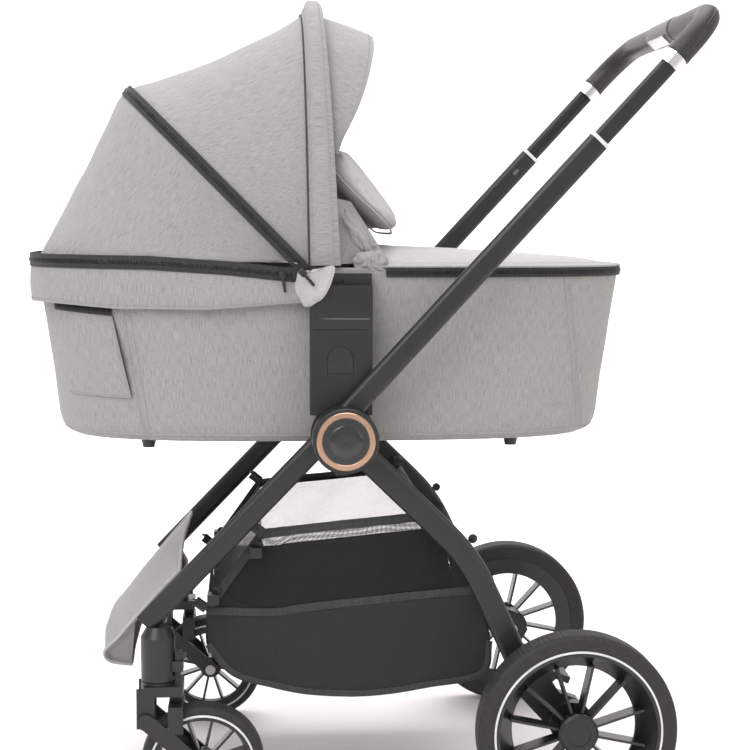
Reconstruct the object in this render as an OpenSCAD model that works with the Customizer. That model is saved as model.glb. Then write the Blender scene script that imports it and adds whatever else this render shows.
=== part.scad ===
// Folding stroller chassis with a lift-off carrycot, a zipped hood and a telescopic handle.
// Millimetres. +Z is up, +X points to the handle, -Y is the left side. The wheels stand on z = 0.
// Shapes are drawn from the hub's centre line and shifted once, so the origin is under the middle.

/* [Frame] */
// Height of the hub above the floor
hub_z = 532; // [520:1:560]
// Radius of the round hub casing
hub_r = 43.7; // [42:0.1:48]
// Radius of the pin that the handle and the rear legs turn on
hub_pin_r = 10; // [8:0.5:12]
// Inner face of the hub plates, from the middle of the stroller
plate_y = 206; // [206:1:215]
// Thickness of a hub plate
plate_t = 10; // [8:1:12]
// Gap between neighbouring layers at the hub
layer_gap = 2; // [1:0.5:3]
// Wide side of the oval frame tubes
tube_wide = 30; // [28:1:32]
// Narrow side of the oval frame tubes
tube_thick = 16; // [15:0.5:18]
// Wall of the frame tubes
tube_wall = 1.6; // [1.2:0.1:2]
// Lean of the front legs above the floor, in degrees
leg_angle = 46.1; // [45:0.1:48]
// Distance from the hub to the front leg's centre line
leg_offset = 16.5; // [14:0.5:20]
// Length of the front leg from the hub to its socket
leg_len = 368; // [350:1:380]

/* [Handle] */
// Lean of the handle above the floor, in degrees
handle_angle = 47.45; // [45:0.05:50]
// Distance from the hub to the handle's centre line
handle_offset = 19.5; // [16:0.5:22]
// End of the outer handle tube, from the hub
outer_len = 517; // [480:1:540]
// Distance from the hub to the cross bar
grip_at = 752; // [730:1:780]
// Wide side of the sliding tube
slide_wide = 24; // [22:1:25]
// Narrow side of the sliding tube
slide_thick = 12; // [10:0.5:12.4]
// Radius of the grip
grip_r = 17; // [15:0.5:19]
// Bend radius of the grip's corners
grip_bend = 66; // [50:1:90]

/* [Wheels] */
// Radius of a rear tyre
rear_r = 136; // [125:1:145]
// Width of a rear tyre
rear_w = 42; // [36:1:46]
// Middle of a rear wheel, from the middle of the stroller
rear_y = 281; // [281:1:290]
// Rear axle behind the hub
rear_x = 313; // [300:1:330]
// Radius of a front tyre
front_r = 83.5; // [78:0.5:85]
// Width of a front tyre
front_w = 36; // [30:1:38]
// Swivel axis ahead of the hub
swivel_x = 250; // [245:1:260]
// Distance of the front axle behind its swivel axis
trail = 59; // [50:1:65]
// Radius of the axles
axle_r = 6; // [5:0.5:7]
// Radial play of a pin in its bore
pin_play = 0.05; // [0.02:0.01:0.08]

/* [Carrycot] */
// Height of the cot's rim above the floor
rim_z = 757; // [740:1:780]
// Depth of the cot below its rim
cot_depth = 238; // [220:1:240]
// Length of the cot ahead of the hub, at the rim
cot_front = 428; // [400:1:450]
// Length of the cot behind the hub, at the rim
cot_rear = 415; // [390:1:425]
// Half the width of the cot at the rim
cot_half = 203; // [190:1:204]
// Wall of the cot's padded shell
cot_wall = 12; // [8:1:16]
// Thickness of the mattress
mattress_t = 38; // [25:1:50]

/* [Hood] */
// Thickness of the hood's fabric with its lining
hood_t = 4; // [3:0.5:6]
// Highest point of the hood above the rim
hood_rise = 374; // [350:1:390]
// Half the width of the hood
hood_half = 207; // [200:1:210]

/* [Basket] */
// Half the width of the basket
basket_half = 198; // [180:1:202]
// Thickness of the basket's walls
basket_t = 4; // [3:0.5:6]

/* [Hidden] */
$fn = 64;
leg_y = plate_y + plate_t + layer_gap;
leg_mid = leg_y + tube_thick / 2;
arm_y = leg_y + tube_thick + layer_gap;
arm_mid = arm_y + tube_thick / 2;
casing_y = arm_y + 40;
casing_end = arm_y + 43;
knuckle_r = 38;
pivot_gap = 1.5;
pin_bore_r = hub_pin_r + pin_play;
slide_play = 0.4;
rod_r = 10;
ferrule_t = 5;
ring_len = 18;
inner_len = 170;
ring_at = grip_at - grip_bend - 34;
socket_top = 262;
socket_low = 203;
socket_r = 23;
crossbar_r = 9;
stem_r = 9;
arm_pivot = [-16, 151];
bridge_z = 168;
post_top = 672;
post_out = leg_y + tube_thick - 2;
pocket_wall = 2;
pocket_play = 0.5;
tongue_t = 6;
post_x0 = -45;
post_x1 = 38;
button_z = [617, 653];
button_travel = 4;
hood_pivot = [-55, rim_z - 7];
hood_pin_r = 4;
rear_bend_r = 250;
rear_lean_a = 44.15;
rear_lean_b = 64.7;
rear_wide = 34;
rear_vertex = 240;
rear_turn = rear_lean_b - rear_lean_a;
rear_bend_t = rear_bend_r * tan(rear_turn / 2);
axle_bar_r = 10;
rear_z = rear_r;
floor_t = 14;
crossbar_x = grip_at * cos(handle_angle) - handle_offset * sin(handle_angle);
housing_r = grip_r + 1;
hub_x = (cot_front - (crossbar_x + housing_r)) / 2;

// ---------- helpers ----------
module from_hub() translate([hub_x, 0, 0]) children();
module both_sides() {
  children();
  mirror([0, 1, 0]) children();
}
module on_side(left) mirror([0, left ? 1 : 0, 0]) children();

// A round bar along +Y from y0 to y1 at x, z.
module bar(x, z, r, y0, y1) translate([x, y0, z]) rotate([-90, 0, 0]) cylinder(h = y1 - y0, r = r);

// Oval section: wide along X, thick along Y.
module oval(wide, thick) {
  square([wide - thick, thick], center = true);
  for (s = [-1, 1]) translate([s * (wide - thick) / 2, 0]) circle(d = thick);
}

// A frame that starts at the hub: local Z runs along the tube, local X is across it.
module along(angle, offset, y) {
  translate([0, y, hub_z]) rotate([0, 90 - angle, 0]) translate([-offset, 0, 0]) children();
}
module on_leg() translate([0, leg_mid, hub_z]) rotate([0, 270 - leg_angle, 0])
  translate([leg_offset, 0, 0]) children();

// Closed solid between two equal grids of points.
module sheet(top, low) {
  rows = len(top);
  cols = len(top[0]);
  n = rows * cols;
  function at(i, j) = i * cols + j;
  grid = [for (i = [0:rows - 2]) for (j = [0:cols - 2])
    [at(i, j), at(i, j + 1), at(i + 1, j + 1), at(i + 1, j)]];
  tops = [for (q = grid) each [[q[0], q[1], q[2]], [q[0], q[2], q[3]]]];
  lows = [for (q = grid) each [[n + q[2], n + q[1], n + q[0]], [n + q[3], n + q[2], n + q[0]]]];
  edge = concat([for (j = [0:cols - 1]) at(0, j)], [for (i = [1:rows - 1]) at(i, cols - 1)],
                [for (j = [cols - 2:-1:0]) at(rows - 1, j)], [for (i = [rows - 2:-1:1]) at(i, 0)]);
  m = len(edge);
  rim = [for (k = [0:m - 1]) let (a = edge[k], b = edge[(k + 1) % m])
    each [[b, a, n + a], [b, n + a, n + b]]];
  polyhedron(points = concat([for (r = top) each r], [for (r = low) each r]),
             faces = concat(tops, lows, rim), convexity = 8);
}

// Closed solid through a list of rings with equal counts.
module loft(rings) {
  m = len(rings[0]);
  last = (len(rings) - 1) * m;
  side = [for (i = [0:len(rings) - 2]) for (k = [0:m - 1])
    let (a = i * m + k, b = i * m + (k + 1) % m) each [[b, a, a + m], [b, a + m, b + m]]];
  polyhedron(points = [for (r = rings) each r],
             faces = concat(side, [[for (k = [0:m - 1]) k]], [[for (k = [m - 1:-1:0]) last + k]]),
             convexity = 8);
}

// Signed power, for rounded outlines: exponent 2 is an ellipse, more is squarer.
function spow(v, e) = sign(v) * pow(abs(v), e);
cot_round = 3.1;
cot_mid = (cot_rear - cot_front) / 2;
cot_long = (cot_rear + cot_front) / 2;
function cot_ring(inset, z, n = 64) = [for (k = [0:n - 1]) let (t = 360 * k / n)
  [cot_mid + (cot_long - inset) * spow(cos(t), 2 / cot_round),
   (cot_half - inset * 0.4) * spow(sin(t), 2 / cot_round), z]];

// Arch of the hood: foot on each side at [x, z], crown at [x, z] over the middle.
hood_round = 2.6;
function arch(foot, crown, inset, n = 20) = [for (k = [0:n]) let (t = -90 + 180 * k / n)
  let (up = pow(abs(cos(t)), 2 / hood_round), d = crown - foot, f = (norm(d) - inset) / norm(d))
  [foot[0] + d[0] * up * f, (hood_half - inset) * spow(sin(t), 2 / hood_round), foot[1] + d[1] * up * f]];
hood_low = rim_z + 1;
band_crown = [-26, rim_z + hood_rise];
seam_crown = [-52, rim_z + hood_rise - 22];
bow_crown = [-298, rim_z + hood_rise - 130];
foot_band = [-3, hood_low + 2];
foot_seam = [-44, hood_low];
foot_bow = [-54, hood_low];
foot_rear = [-70, hood_low];
rear_crown = [-424, hood_low + 6];
function mix(a, b, f) = a + (b - a) * f;
module hood_part(feet, crowns) {
  sheet([for (i = [0:len(feet) - 1]) arch(feet[i], crowns[i], 0)],
        [for (i = [0:len(feet) - 1]) arch(feet[i], crowns[i], hood_t)]);
}

// ---------- chassis ----------
module front_legs() color("dimgray") from_hub() both_sides() difference() {
  on_leg() linear_extrude(leg_len) oval(tube_wide, tube_thick);
  on_leg() translate([0, 0, -1]) linear_extrude(leg_len - 20)
    oval(tube_wide - 2 * tube_wall, tube_thick - 2 * tube_wall);
  bar(0, hub_z, knuckle_r + pivot_gap, leg_y - 1, leg_y + tube_thick + 1);
  socket_shape();
}

module hub_plates() color("dimgray") from_hub() both_sides() difference() {
  union() {
    bar(0, hub_z, hub_r, plate_y, plate_y + plate_t);
    on_leg() translate([-12, 1 - tube_thick / 2 - layer_gap - plate_t, 14]) cube([24, plate_t - 2, 82]);
    on_leg() translate([-11, -2 - tube_thick / 2 - layer_gap, hub_r + 1])
      cube([22, layer_gap + 2, 94 - hub_r]);
    translate([-9, plate_y + 1.5, hub_z - 56]) cube([16, plate_t - 3, 30]);
  }
  bar(0, hub_z, hub_pin_r, plate_y - 1, plate_y + plate_t + 1);
}

module hub_pins() color("silver") from_hub() both_sides() {
  bar(0, hub_z, hub_pin_r, plate_y, casing_y - 10);
  bar(0, hub_z, hub_pin_r + 5, plate_y - 4, plate_y);
}

// Sleeve above the hub plate with a pocket for the carrycot's tongue and a window for its button.
module adapter_posts() color("black") from_hub() both_sides() difference() {
  translate([post_x0, plate_y, hub_z]) cube([post_x1 - post_x0, post_out - plate_y, post_top - hub_z]);
  bar(0, hub_z, hub_r, plate_y - 1, post_out + 1);
  translate([-60, plate_y - 1, hub_z - 1]) cube([110, 40, 30]);
  translate([post_x0 + 6, plate_y + pocket_wall, post_top - 74])
    cube([post_x1 - post_x0 - 12, tongue_t + 2 * pocket_play, 80]);
  button_shape(0.5, plate_y + 10, post_out + 1);
}
module button_shape(play, y0, y1) {
  translate([-22 - play, y0, button_z[0] - play]) cube([34 + 2 * play, y1 - y0, 22 + 2 * play]);
  bar(-5, button_z[1] - 17, 17 + play, y0, y1);
}
module release_button(left) color("black") from_hub() on_side(left) difference() {
  button_shape(0, plate_y + 15, post_out - 0.6);
  bar(-5, button_z[1] - 17, 9, post_out - 2, post_out + 1);
}

module socket_shape() {
  translate([-swivel_x, leg_mid, socket_low]) cylinder(h = socket_top - socket_low, r = socket_r);
  translate([-swivel_x, leg_mid, socket_top]) cylinder(h = 14, r1 = socket_r, r2 = socket_r - 8);
}
module front_sockets() color("dimgray") from_hub() both_sides() difference() {
  union() {
    socket_shape();
    translate([-swivel_x, leg_mid - 12, socket_low + 12]) cube([34, 24, 14]);
  }
  translate([-swivel_x, leg_mid, socket_low - 1]) cylinder(h = 52, r = stem_r + pin_play);
  translate([-swivel_x + 22.6, leg_mid - 9.4, socket_low - 1]) cube([8.4, 18.8, 80]);
}
module front_crossbar() color("dimgray") from_hub() difference() {
  bar(-swivel_x - 6, 240, crossbar_r, 12 - leg_mid, leg_mid - 12);
  both_sides() translate([-swivel_x, leg_mid, socket_low])
    cylinder(h = socket_top - socket_low, r = socket_r);
}

// Fabric foot panel: follows the front legs, then tucks under at its nose.
panel_line = [[-236, 322], [-268, 290], [-303, 252], [-334, 212], [-347, 190], [-338, 173], [-312, 165]];
panel_half = [196, 196, 190, 176, 160, 146, 134];
function panel_row(i, d) = [for (k = [-8:8]) let (f = k / 8, bulge = 8 * (1 - f * f))
  [panel_line[i][0] - bulge * 0.7 + d * 0.72 + 8, panel_half[i] * f,
   panel_line[i][1] + bulge * 0.7 - d * 0.72]];
module front_panel() color("gray") from_hub() difference() {
  sheet([for (i = [0:4]) panel_row(i, 0)], [for (i = [0:4]) panel_row(i, 9)]);
  both_sides() translate([-swivel_x, leg_mid, 100]) cylinder(h = 260, r = socket_r + 3);
  bar(-swivel_x - 6, 240, crossbar_r + 1, -300, 300);
}

// Cloth basket: side outline drawn once, walls left all round, open above its rim.
basket_line = [[-110, 393], [118, 416], [186, 311], [208, 240], [202, 190], [82, 172], [-58, 175],
               [-147, 202], [-184, 233], [-188, 300]];
basket_in = [[-112, 450], [128, 460], [181, 311], [203, 241], [197, 194], [82, 176], [-57, 179],
             [-145, 206], [-180, 235], [-184, 299], [-114, 388]];
module side_slab(line, half)
  translate([0, half, 0]) rotate([90, 0, 0]) linear_extrude(2 * half) polygon(line);
module basket() color("black") from_hub() difference() {
  side_slab(basket_line, basket_half);
  side_slab(basket_in, basket_half - basket_t);
  translate([124, -basket_half + basket_t, 316]) cube([80, 2 * (basket_half - basket_t), 120]);
}
// Press-stud tabs that hang the basket from the front legs.
module basket_clips() color("black") from_hub() both_sides() {
  for (at = [[-120, 372], [-178, 308]]) translate([at[0] - 6, basket_half, at[1] - 8])
    cube([16, leg_y - basket_half, 14]);
}

// ---------- rear frame ----------
// The rear leg's centre line: straight from the hub, one bend, then straight down to its boot.
function oval_ring(x, z, down, wide, thick) = [for (k = [0:23]) let (t = 15 * k,
  a = (wide - thick) / 2 * sign(round(cos(t) * 1000)) + thick / 2 * cos(t))
  [x - a * sin(down), leg_mid + thick / 2 * sin(t), z - a * cos(down)]];
bend_start = rear_vertex - rear_bend_t;
function rear_bend_at(a) = [
  bend_start * cos(rear_lean_a) + rear_bend_r * (sin(a) - sin(rear_lean_a)),
  hub_z - bend_start * sin(rear_lean_a) + rear_bend_r * (cos(a) - cos(rear_lean_a))];
// Height above the axle at which the leg ends inside its boot.
boot_grip = 52.25;
module rear_tube() {
  last = rear_bend_at(rear_lean_b);
  rear_end = (last[1] - rear_r - boot_grip) / sin(rear_lean_b);
  loft([oval_ring(0, hub_z, rear_lean_a, rear_wide, tube_thick),
        for (k = [0:6]) let (a = rear_lean_a + rear_turn * k / 6, p = rear_bend_at(a))
          oval_ring(p[0], p[1], a, rear_wide, tube_thick),
        oval_ring(last[0] + rear_end * cos(rear_lean_b), rear_r + boot_grip, rear_lean_b,
                  rear_wide, tube_thick)]);
}
module rear_legs() color("dimgray") from_hub() both_sides() difference() {
  union() {
    rear_tube();
    bar(0, hub_z, knuckle_r, leg_y + 0.2, leg_y + tube_thick - 0.2);
  }
  bar(0, hub_z, pin_bore_r, leg_y - 1, leg_y + tube_thick + 1);
}
bar_x = rear_x - 16;
bar_z = rear_z + 14;
// Side outline of the boot that joins a rear leg to its axle.
boot_line = [[rear_x - 78, rear_z + 44], [rear_x - 51, rear_z + 14], [rear_x - 13, rear_z - 27],
             [rear_x + 13, rear_z - 26], [rear_x + 28, rear_z], [rear_x + 12, rear_z + 28],
             [rear_x - 14, rear_z + 38], [rear_x - 40, rear_z + 78]];
module rear_crossbar() color("dimgray") from_hub() bar(bar_x, bar_z, axle_bar_r, 1 - leg_y, leg_y - 1);
module brake_housings() color("black") from_hub() both_sides() difference() {
  union() {
    translate([0, leg_y + tube_thick + 2, 0]) rotate([90, 0, 0])
      linear_extrude(tube_thick + 3) polygon(boot_line);
    bar(rear_x, rear_z, 30, leg_y + tube_thick + 1, rear_y - rear_w / 2 - 4);
  }
  rear_tube();
  bar(rear_x, rear_z, axle_r, leg_y - 2, rear_y);
}
module rear_axles() color("silver") from_hub() both_sides() {
  bar(rear_x, rear_z, axle_r, leg_y - 1, rear_y + 13.5);
  bar(rear_x, rear_z, axle_r + 4, leg_y - 4, leg_y - 1);
}
// Foot pedal that turns on the rear cross bar.
module brake_pedal() color("black") from_hub() difference() {
  union() {
    bar(bar_x, bar_z, axle_bar_r + 6, -34, 34);
    translate([bar_x, -32, bar_z]) rotate([0, 22, 0]) translate([4, 0, -5]) cube([62, 64, 10]);
  }
  bar(bar_x, bar_z, axle_bar_r + pin_play, -36, 36);
}

// ---------- wheels ----------
// Profiles turn about the wheel's axis; w runs along it from the inner face.
module turned(x, z, y) translate([x, y, z]) rotate([-90, 0, 0]) rotate_extrude($fn = 128) children();
module tyre(x, r, w, y) turned(x, r, y - w / 2) difference() {
  translate([r - r * 0.18, 0]) union() {
    translate([0, 3.5]) square([r * 0.18 - 7, w - 7]);
    hull() {
      translate([1, 2]) square([r * 0.18 - 13, w - 4]);
      for (y = [8, w - 8]) translate([r * 0.18 - 7, y]) circle(r = 7, $fn = 24);
    }
  }
}
module rim(x, r, w, y, blades, bore, face, deep) {
  seat = r * 0.82;
  difference() {
    union() {
      turned(x, r, y - w / 2) polygon([[seat, 3], [seat, w - 2], [seat - 2.5, w - 2], [seat - deep - 2, 7],
                                        [seat - deep - 2, 3]]);
      bar(x, r, bore + 12, y - w / 2 + 1, face - 3);
      for (k = [0:blades - 1]) translate([x, y, r]) rotate([0, 360 * k / blades + 12, 0])
        translate([bore + 8, -w * 0.28, -1.75]) cube([seat - deep * 0.72 - bore - 8, w * 0.56, 3.5]);
    }
    bar(x, r, bore, y - w, face + 10);
  }
}
rear_face = rear_y + rear_w / 2 - 4;
front_face = leg_mid + front_w / 2;
module rear_tyre(left) color("black") from_hub() on_side(left) tyre(rear_x, rear_r, rear_w, rear_y);
module rear_rim(left) color("black") from_hub() on_side(left)
  rim(rear_x, rear_r, rear_w, rear_y, 12, axle_r + pin_play, rear_face, 24);
module rear_cap(left) color("dimgray") from_hub() on_side(left) {
  turned(rear_x, rear_r, rear_face - 3)
    polygon([[0, 0], [27, 0], [27, 3], [24, 6], [16, 7], [16, 6], [0, 6]]);
}
front_axle_x = trail - swivel_x;
module front_tyre(left) color("black") from_hub() on_side(left)
  tyre(front_axle_x, front_r, front_w, leg_mid);
module front_rim(left) color("black") from_hub() on_side(left)
  rim(front_axle_x, front_r, front_w, leg_mid, 12, 5 + pin_play, front_face - 1, 9);

// ---------- caster ----------
ear_y = front_w / 2 + 3;
ear_t = 4.5;
blade_t = 4;
module at_swivel(left) from_hub() on_side(left) translate([-swivel_x, leg_mid, 0]) children();
module fork_head(left) color("dimgray") at_swivel(left) difference() {
  union() {
    cylinder(h = socket_low + 48, r = stem_r);
    translate([0, 0, 184]) cylinder(h = 17.5, r = socket_r);
    translate([-18, -ear_y - ear_t, 184]) cube([52, 2 * (ear_y + ear_t), 14]);
    for (s = [-1, 1]) translate([-28, s > 0 ? ear_y : -ear_y - ear_t, 141]) cube([24, ear_t, 54]);
  }
  translate([0, 0, -1]) cylinder(h = 185, r = stem_r + 1);
  bar(arm_pivot[0], arm_pivot[1], 5 + pin_play, -ear_y - 8, ear_y + 8);
}
module swing_arm(left) color("dimgray") at_swivel(left) difference() {
  union() {
    for (s = [-1, 1]) let (y0 = s > 0 ? ear_y + ear_t + 0.5 : -ear_y - ear_t - 0.5 - blade_t) {
      bar(arm_pivot[0], arm_pivot[1], 11, y0, y0 + blade_t);
      bar(trail, front_r, 11, y0, y0 + blade_t);
      translate([arm_pivot[0], y0, arm_pivot[1]])
        rotate([0, atan2(arm_pivot[1] - front_r, trail - arm_pivot[0]), 0])
        translate([0, 0, -10]) cube([norm([arm_pivot[1] - front_r, trail - arm_pivot[0]]), blade_t, 22]);
      translate([14, y0, bridge_z - 34]) cube([20, blade_t, 37]);
    }
    translate([14, -ear_y - ear_t - 0.5, bridge_z]) cube([20, 2 * (ear_y + ear_t + 0.5), 3]);
    bar(arm_pivot[0], arm_pivot[1], 5, -ear_y - ear_t - 1, ear_y + ear_t + 1);
  }
  bar(trail, front_r, 5, -50, 50);
}
module buffer(left) color("dimgray") from_hub() on_side(left)
  translate([24 - swivel_x, leg_mid, bridge_z + 3]) cylinder(h = 184 - bridge_z - 3, r = 8);
module front_axle(left) color("silver") from_hub() on_side(left) translate([-swivel_x, leg_mid, 0]) {
  bar(trail, front_r, 5, -ear_y - ear_t - 0.5 - blade_t, ear_y + ear_t + 0.5 + blade_t);
  for (y0 = [-ear_y - ear_t - 2.5 - blade_t, ear_y + ear_t + 0.5 + blade_t])
    bar(trail, front_r, 8, y0, y0 + 2);
}
module swivel_lock(left) color("silver") from_hub() on_side(left) translate([-swivel_x, leg_mid, 0]) {
  translate([23, -9, 206]) cube([7.6, 18, 34]);
  translate([23, -9, 232]) cube([14, 18, 4]);
}

// ---------- handle ----------
module on_arm() along(handle_angle, handle_offset, arm_mid) children();
module handle_tubes() color("dimgray") from_hub() both_sides() difference() {
  on_arm() translate([0, 0, 24]) linear_extrude(outer_len - 24) oval(tube_wide, tube_thick);
  on_arm() translate([0, 0, 60]) linear_extrude(outer_len)
    oval(tube_wide - 2 * tube_wall, tube_thick - 2 * tube_wall);
  along(handle_angle, handle_offset, arm_y - 1) translate([-3.5, -1, outer_len - 40]) cube([7, 8, 12]);
}
module hub_casings() color("black") from_hub() both_sides() difference() {
  union() {
    bar(0, hub_z, hub_r, arm_y, casing_y);
    turned(0, hub_z, casing_y)
      polygon([[hub_r - 5, 0], [hub_r, 0], [hub_r, 1.5], [hub_r - 1.5, 3], [hub_r - 5, 3]]);
  }
  on_arm() translate([0, 0, 24]) linear_extrude(60) oval(tube_wide, tube_thick);
  bar(0, hub_z, pin_bore_r, arm_y - 1, casing_y - 9);
}
cap_r = hub_r - 12.7;
module hub_rings() color("peru") from_hub() both_sides() turned(0, hub_z, casing_y)
  polygon([[cap_r, 0], [hub_r - 5, 0], [hub_r - 5, 3.4], [hub_r - 6, 4.4], [cap_r + 1, 4.4], [cap_r, 3.4]]);
module hub_caps() color("black") from_hub() both_sides()
  bar(0, hub_z, cap_r, casing_y, casing_y + 3.2);
module handle_ferrules() color("white") from_hub() both_sides()
  on_arm() translate([0, 0, outer_len]) linear_extrude(ferrule_t) difference() {
    oval(tube_wide + 1, tube_thick + 1);
    oval(slide_wide + 2 * slide_play, slide_thick + 2 * slide_play);
  }
// A bent round rod in the handle's plane: a straight end, a corner and half of the cross bar.
function rod_ring(r, y, z, turn) = [for (k = [0:23]) let (t = 15 * k)
  [-r * sin(t), y + r * cos(t) * cos(turn), z + r * cos(t) * sin(turn)]];
function rod_rings(r, start, y_end) = [
  rod_ring(r, arm_mid, start, 0),
  for (k = [0:8]) let (a = 90 * k / 8)
    rod_ring(r, arm_mid - grip_bend + grip_bend * cos(a), grip_at - grip_bend + grip_bend * sin(a), a),
  rod_ring(r, y_end, grip_at, 90)];
module handle_rod(r, start, y_end) along(handle_angle, handle_offset, 0) loft(rod_rings(r, start, y_end));

module slide_tube() color("dimgray") from_hub() {
  both_sides() difference() {
    on_arm() translate([0, 0, outer_len - inner_len])
      linear_extrude(ring_at + ring_len - outer_len + inner_len)
      oval(slide_wide, slide_thick);
    along(handle_angle, handle_offset, arm_mid - slide_thick / 2)
      translate([-3.8, -1, outer_len - inner_len - 1]) cube([7.6, 4.2, ring_at - outer_len + inner_len + 1]);
  }
  both_sides() handle_rod(rod_r - 1, ring_at + ring_len - 1, -0.5);
}
module grip_rings() color("silver") from_hub() both_sides()
  on_arm() translate([0, 0, ring_at]) difference() {
    cylinder(h = ring_len, r = grip_r - 0.5);
    translate([0, 0, -1]) linear_extrude(ring_len + 2) oval(slide_wide, slide_thick);
    translate([0, 0, ring_len - 1.1]) cylinder(h = 2, r = rod_r - 0.9);
  }
housing_half = 56;
module grip_cover() color("black") from_hub() both_sides() difference() {
  handle_rod(grip_r, ring_at + ring_len, housing_half);
  handle_rod(rod_r - 0.9, ring_at + ring_len - 1, housing_half - 1);
}
module at_grip() from_hub() along(handle_angle, handle_offset, 0) translate([0, 0, grip_at]) children();
module trigger_housing() color("gray") at_grip() difference() {
  bar(0, 0, housing_r, -housing_half, housing_half);
  bar(0, 0, rod_r - 0.9, -housing_half - 1, housing_half + 1);
  translate([-8.4, -40.4, -grip_r - 4]) cube([16.8, 80.8, 13.5]);
}
module fold_trigger() color("silver") at_grip() translate([-8, -40, -grip_r - 3]) cube([16, 80, 6]);
module slide_button(left) color("white") from_hub() on_side(left)
  along(handle_angle, handle_offset, arm_y) translate([-3, -0.8, outer_len - 39.5]) cube([6, 2.6, 11]);

// ---------- carrycot ----------
cot_low = rim_z - cot_depth;
module cot_shell() color("lightgray") from_hub() difference() {
  loft([cot_ring(50, cot_low), cot_ring(34, cot_low + 8), cot_ring(29, cot_low + 26),
        cot_ring(22, rim_z - 150), cot_ring(2, rim_z - 10)]);
  loft([cot_ring(62, cot_low + floor_t), cot_ring(29 + cot_wall, cot_low + 34),
        cot_ring(22 + cot_wall, rim_z - 150), cot_ring(2 + cot_wall, rim_z - 9)]);
}
module cot_rim() color("dimgray") from_hub() difference() {
  loft([cot_ring(2, rim_z - 10), cot_ring(0, rim_z - 8), cot_ring(0, rim_z - 2), cot_ring(2, rim_z)]);
  loft([cot_ring(cot_wall + 4, rim_z - 11), cot_ring(cot_wall + 4, rim_z + 1)]);
}
module mattress() color("white") from_hub()
  loft([cot_ring(70, cot_low + floor_t + 0.5), cot_ring(62, cot_low + floor_t + mattress_t / 2),
        cot_ring(70, cot_low + floor_t + mattress_t)]);
bracket_y = plate_y + pocket_wall + pocket_play;
module cot_brackets() color("black") from_hub() both_sides() difference() {
  union() {
    translate([post_x0 + 6.5, bracket_y, post_top - 70]) cube([post_x1 - post_x0 - 13, tongue_t, 100]);
    translate([post_x0, cot_half - 12, post_top + 0.6])
      cube([post_x1 - post_x0, post_out - cot_half + 12, 62]);
    translate([post_x0, hood_half + 1, post_top + 50]) cube([post_x1 - post_x0, 8, 28]);
    bar(hood_pivot[0], hood_pivot[1], 14, hood_half + 1, hood_half + 9);
  }
  bar(hood_pivot[0], hood_pivot[1], hood_pin_r + pin_play, hood_half, hood_half + 7);
  loft([cot_ring(50, cot_low), cot_ring(29, cot_low + 26), cot_ring(22, rim_z - 150),
        cot_ring(2, rim_z - 10), cot_ring(0, rim_z - 8), cot_ring(0, rim_z + 30)]);
  translate([-22, 0, 737]) cube([22, 300, 5]);
}
module cot_feet() color("black") from_hub() both_sides()
  for (x = [-266, 244]) translate([x, 130, cot_low - 14]) cylinder(h = 14, r1 = 8, r2 = 11);

// Domed cover over the foot half of the cot, with the cloth wall that carries the wind flap.
flap_hinge = [82, rim_z + 45];
flap_lean = 128;
flap_len = 150;
flap_welt_r = 5.5;
flap_t = 22;
flap_half = 176;
apron_x0 = 22;
function dome(lift) = [for (f = [0, 0.04, 0.12, 0.25, 0.45, 0.7, 0.9])
  cot_ring(3 + cot_long * f * 0.48, rim_z + 0.5 + lift * (1 - pow(1 - f, 3)))];
module apron() color("lightgray") from_hub() difference() {
  union() {
    loft(dome(24));
    translate([flap_hinge[0] - 2, -150, rim_z + 12])
      cube([4, 300, flap_hinge[1] - flap_welt_r - 0.4 - rim_z - 12]);
  }
  loft([cot_ring(14, rim_z), for (f = [0, 0.12, 0.45, 0.7])
    cot_ring(14 + cot_long * f * 0.48, rim_z + 0.4 + 19 * (1 - pow(1 - f, 3)))]);
  translate([-600, -300, rim_z - 20]) cube([600 + apron_x0, 600, 100]);
}
module flap_pad() translate([flap_hinge[0], 0, flap_hinge[1]]) rotate([0, 90 - flap_lean, 0])
  loft([for (f = [0, 0.08, 0.5, 0.92, 1]) let (e = f == 0 || f == 1 ? 0.75 : 1) [for (k = [0:31])
    let (t = 360 * k / 32)
    [flap_t / 2 * e * spow(cos(t), 0.7), (flap_half - 14 * (1 - e)) * spow(sin(t), 0.35),
     4 + flap_len * f]]]);
module wind_flap() color("lightgray") from_hub() {
  flap_pad();
  bar(flap_hinge[0], flap_hinge[1], flap_welt_r, -150, 150);
}

// ---------- hood ----------
module hood_rear_panel() color("lightgray") from_hub() hood_part(
  [for (f = [0, 0.33, 0.67, 1]) mix(foot_rear, foot_bow, f) - [5, 0]],
  [rear_crown, [-402, 812], [-352, 902], bow_crown - [7, 9]]);
module hood_front_panel() color("lightgray") from_hub() hood_part(
  [foot_bow + [3, 0], mix(foot_bow, foot_seam, 0.5) + [1, 0], foot_seam - [1, 0]],
  [bow_crown + [10, 5], [-180, rim_z + 292], seam_crown - [3, 1]]);
module hood_bow() color("black") from_hub() {
  hood_part([foot_bow - [4, 0], foot_bow + [1, 0]], [bow_crown - [3, 7], bow_crown + [7, 4]]);
  both_sides() {
    bar(hood_pivot[0], hood_pivot[1], 6.5, hood_half - 3, hood_half - 0.5);
    bar(hood_pivot[0], hood_pivot[1], hood_pin_r, hood_half - 3, hood_half + 6);
    translate([hood_pivot[0] - 2, hood_half - 3, hood_pivot[1]]) cube([4, 2.5, 10]);
  }
}
module hood_band() color("lightgray") from_hub()
  hood_part([foot_seam + [1, 0], foot_band], [seam_crown, band_crown]);
visor_len = [10, 10, 11, 14, 18, 26, 38, 54, 70, 80, 84, 80, 70, 54, 38, 26, 18, 14, 11, 10, 10];
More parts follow.
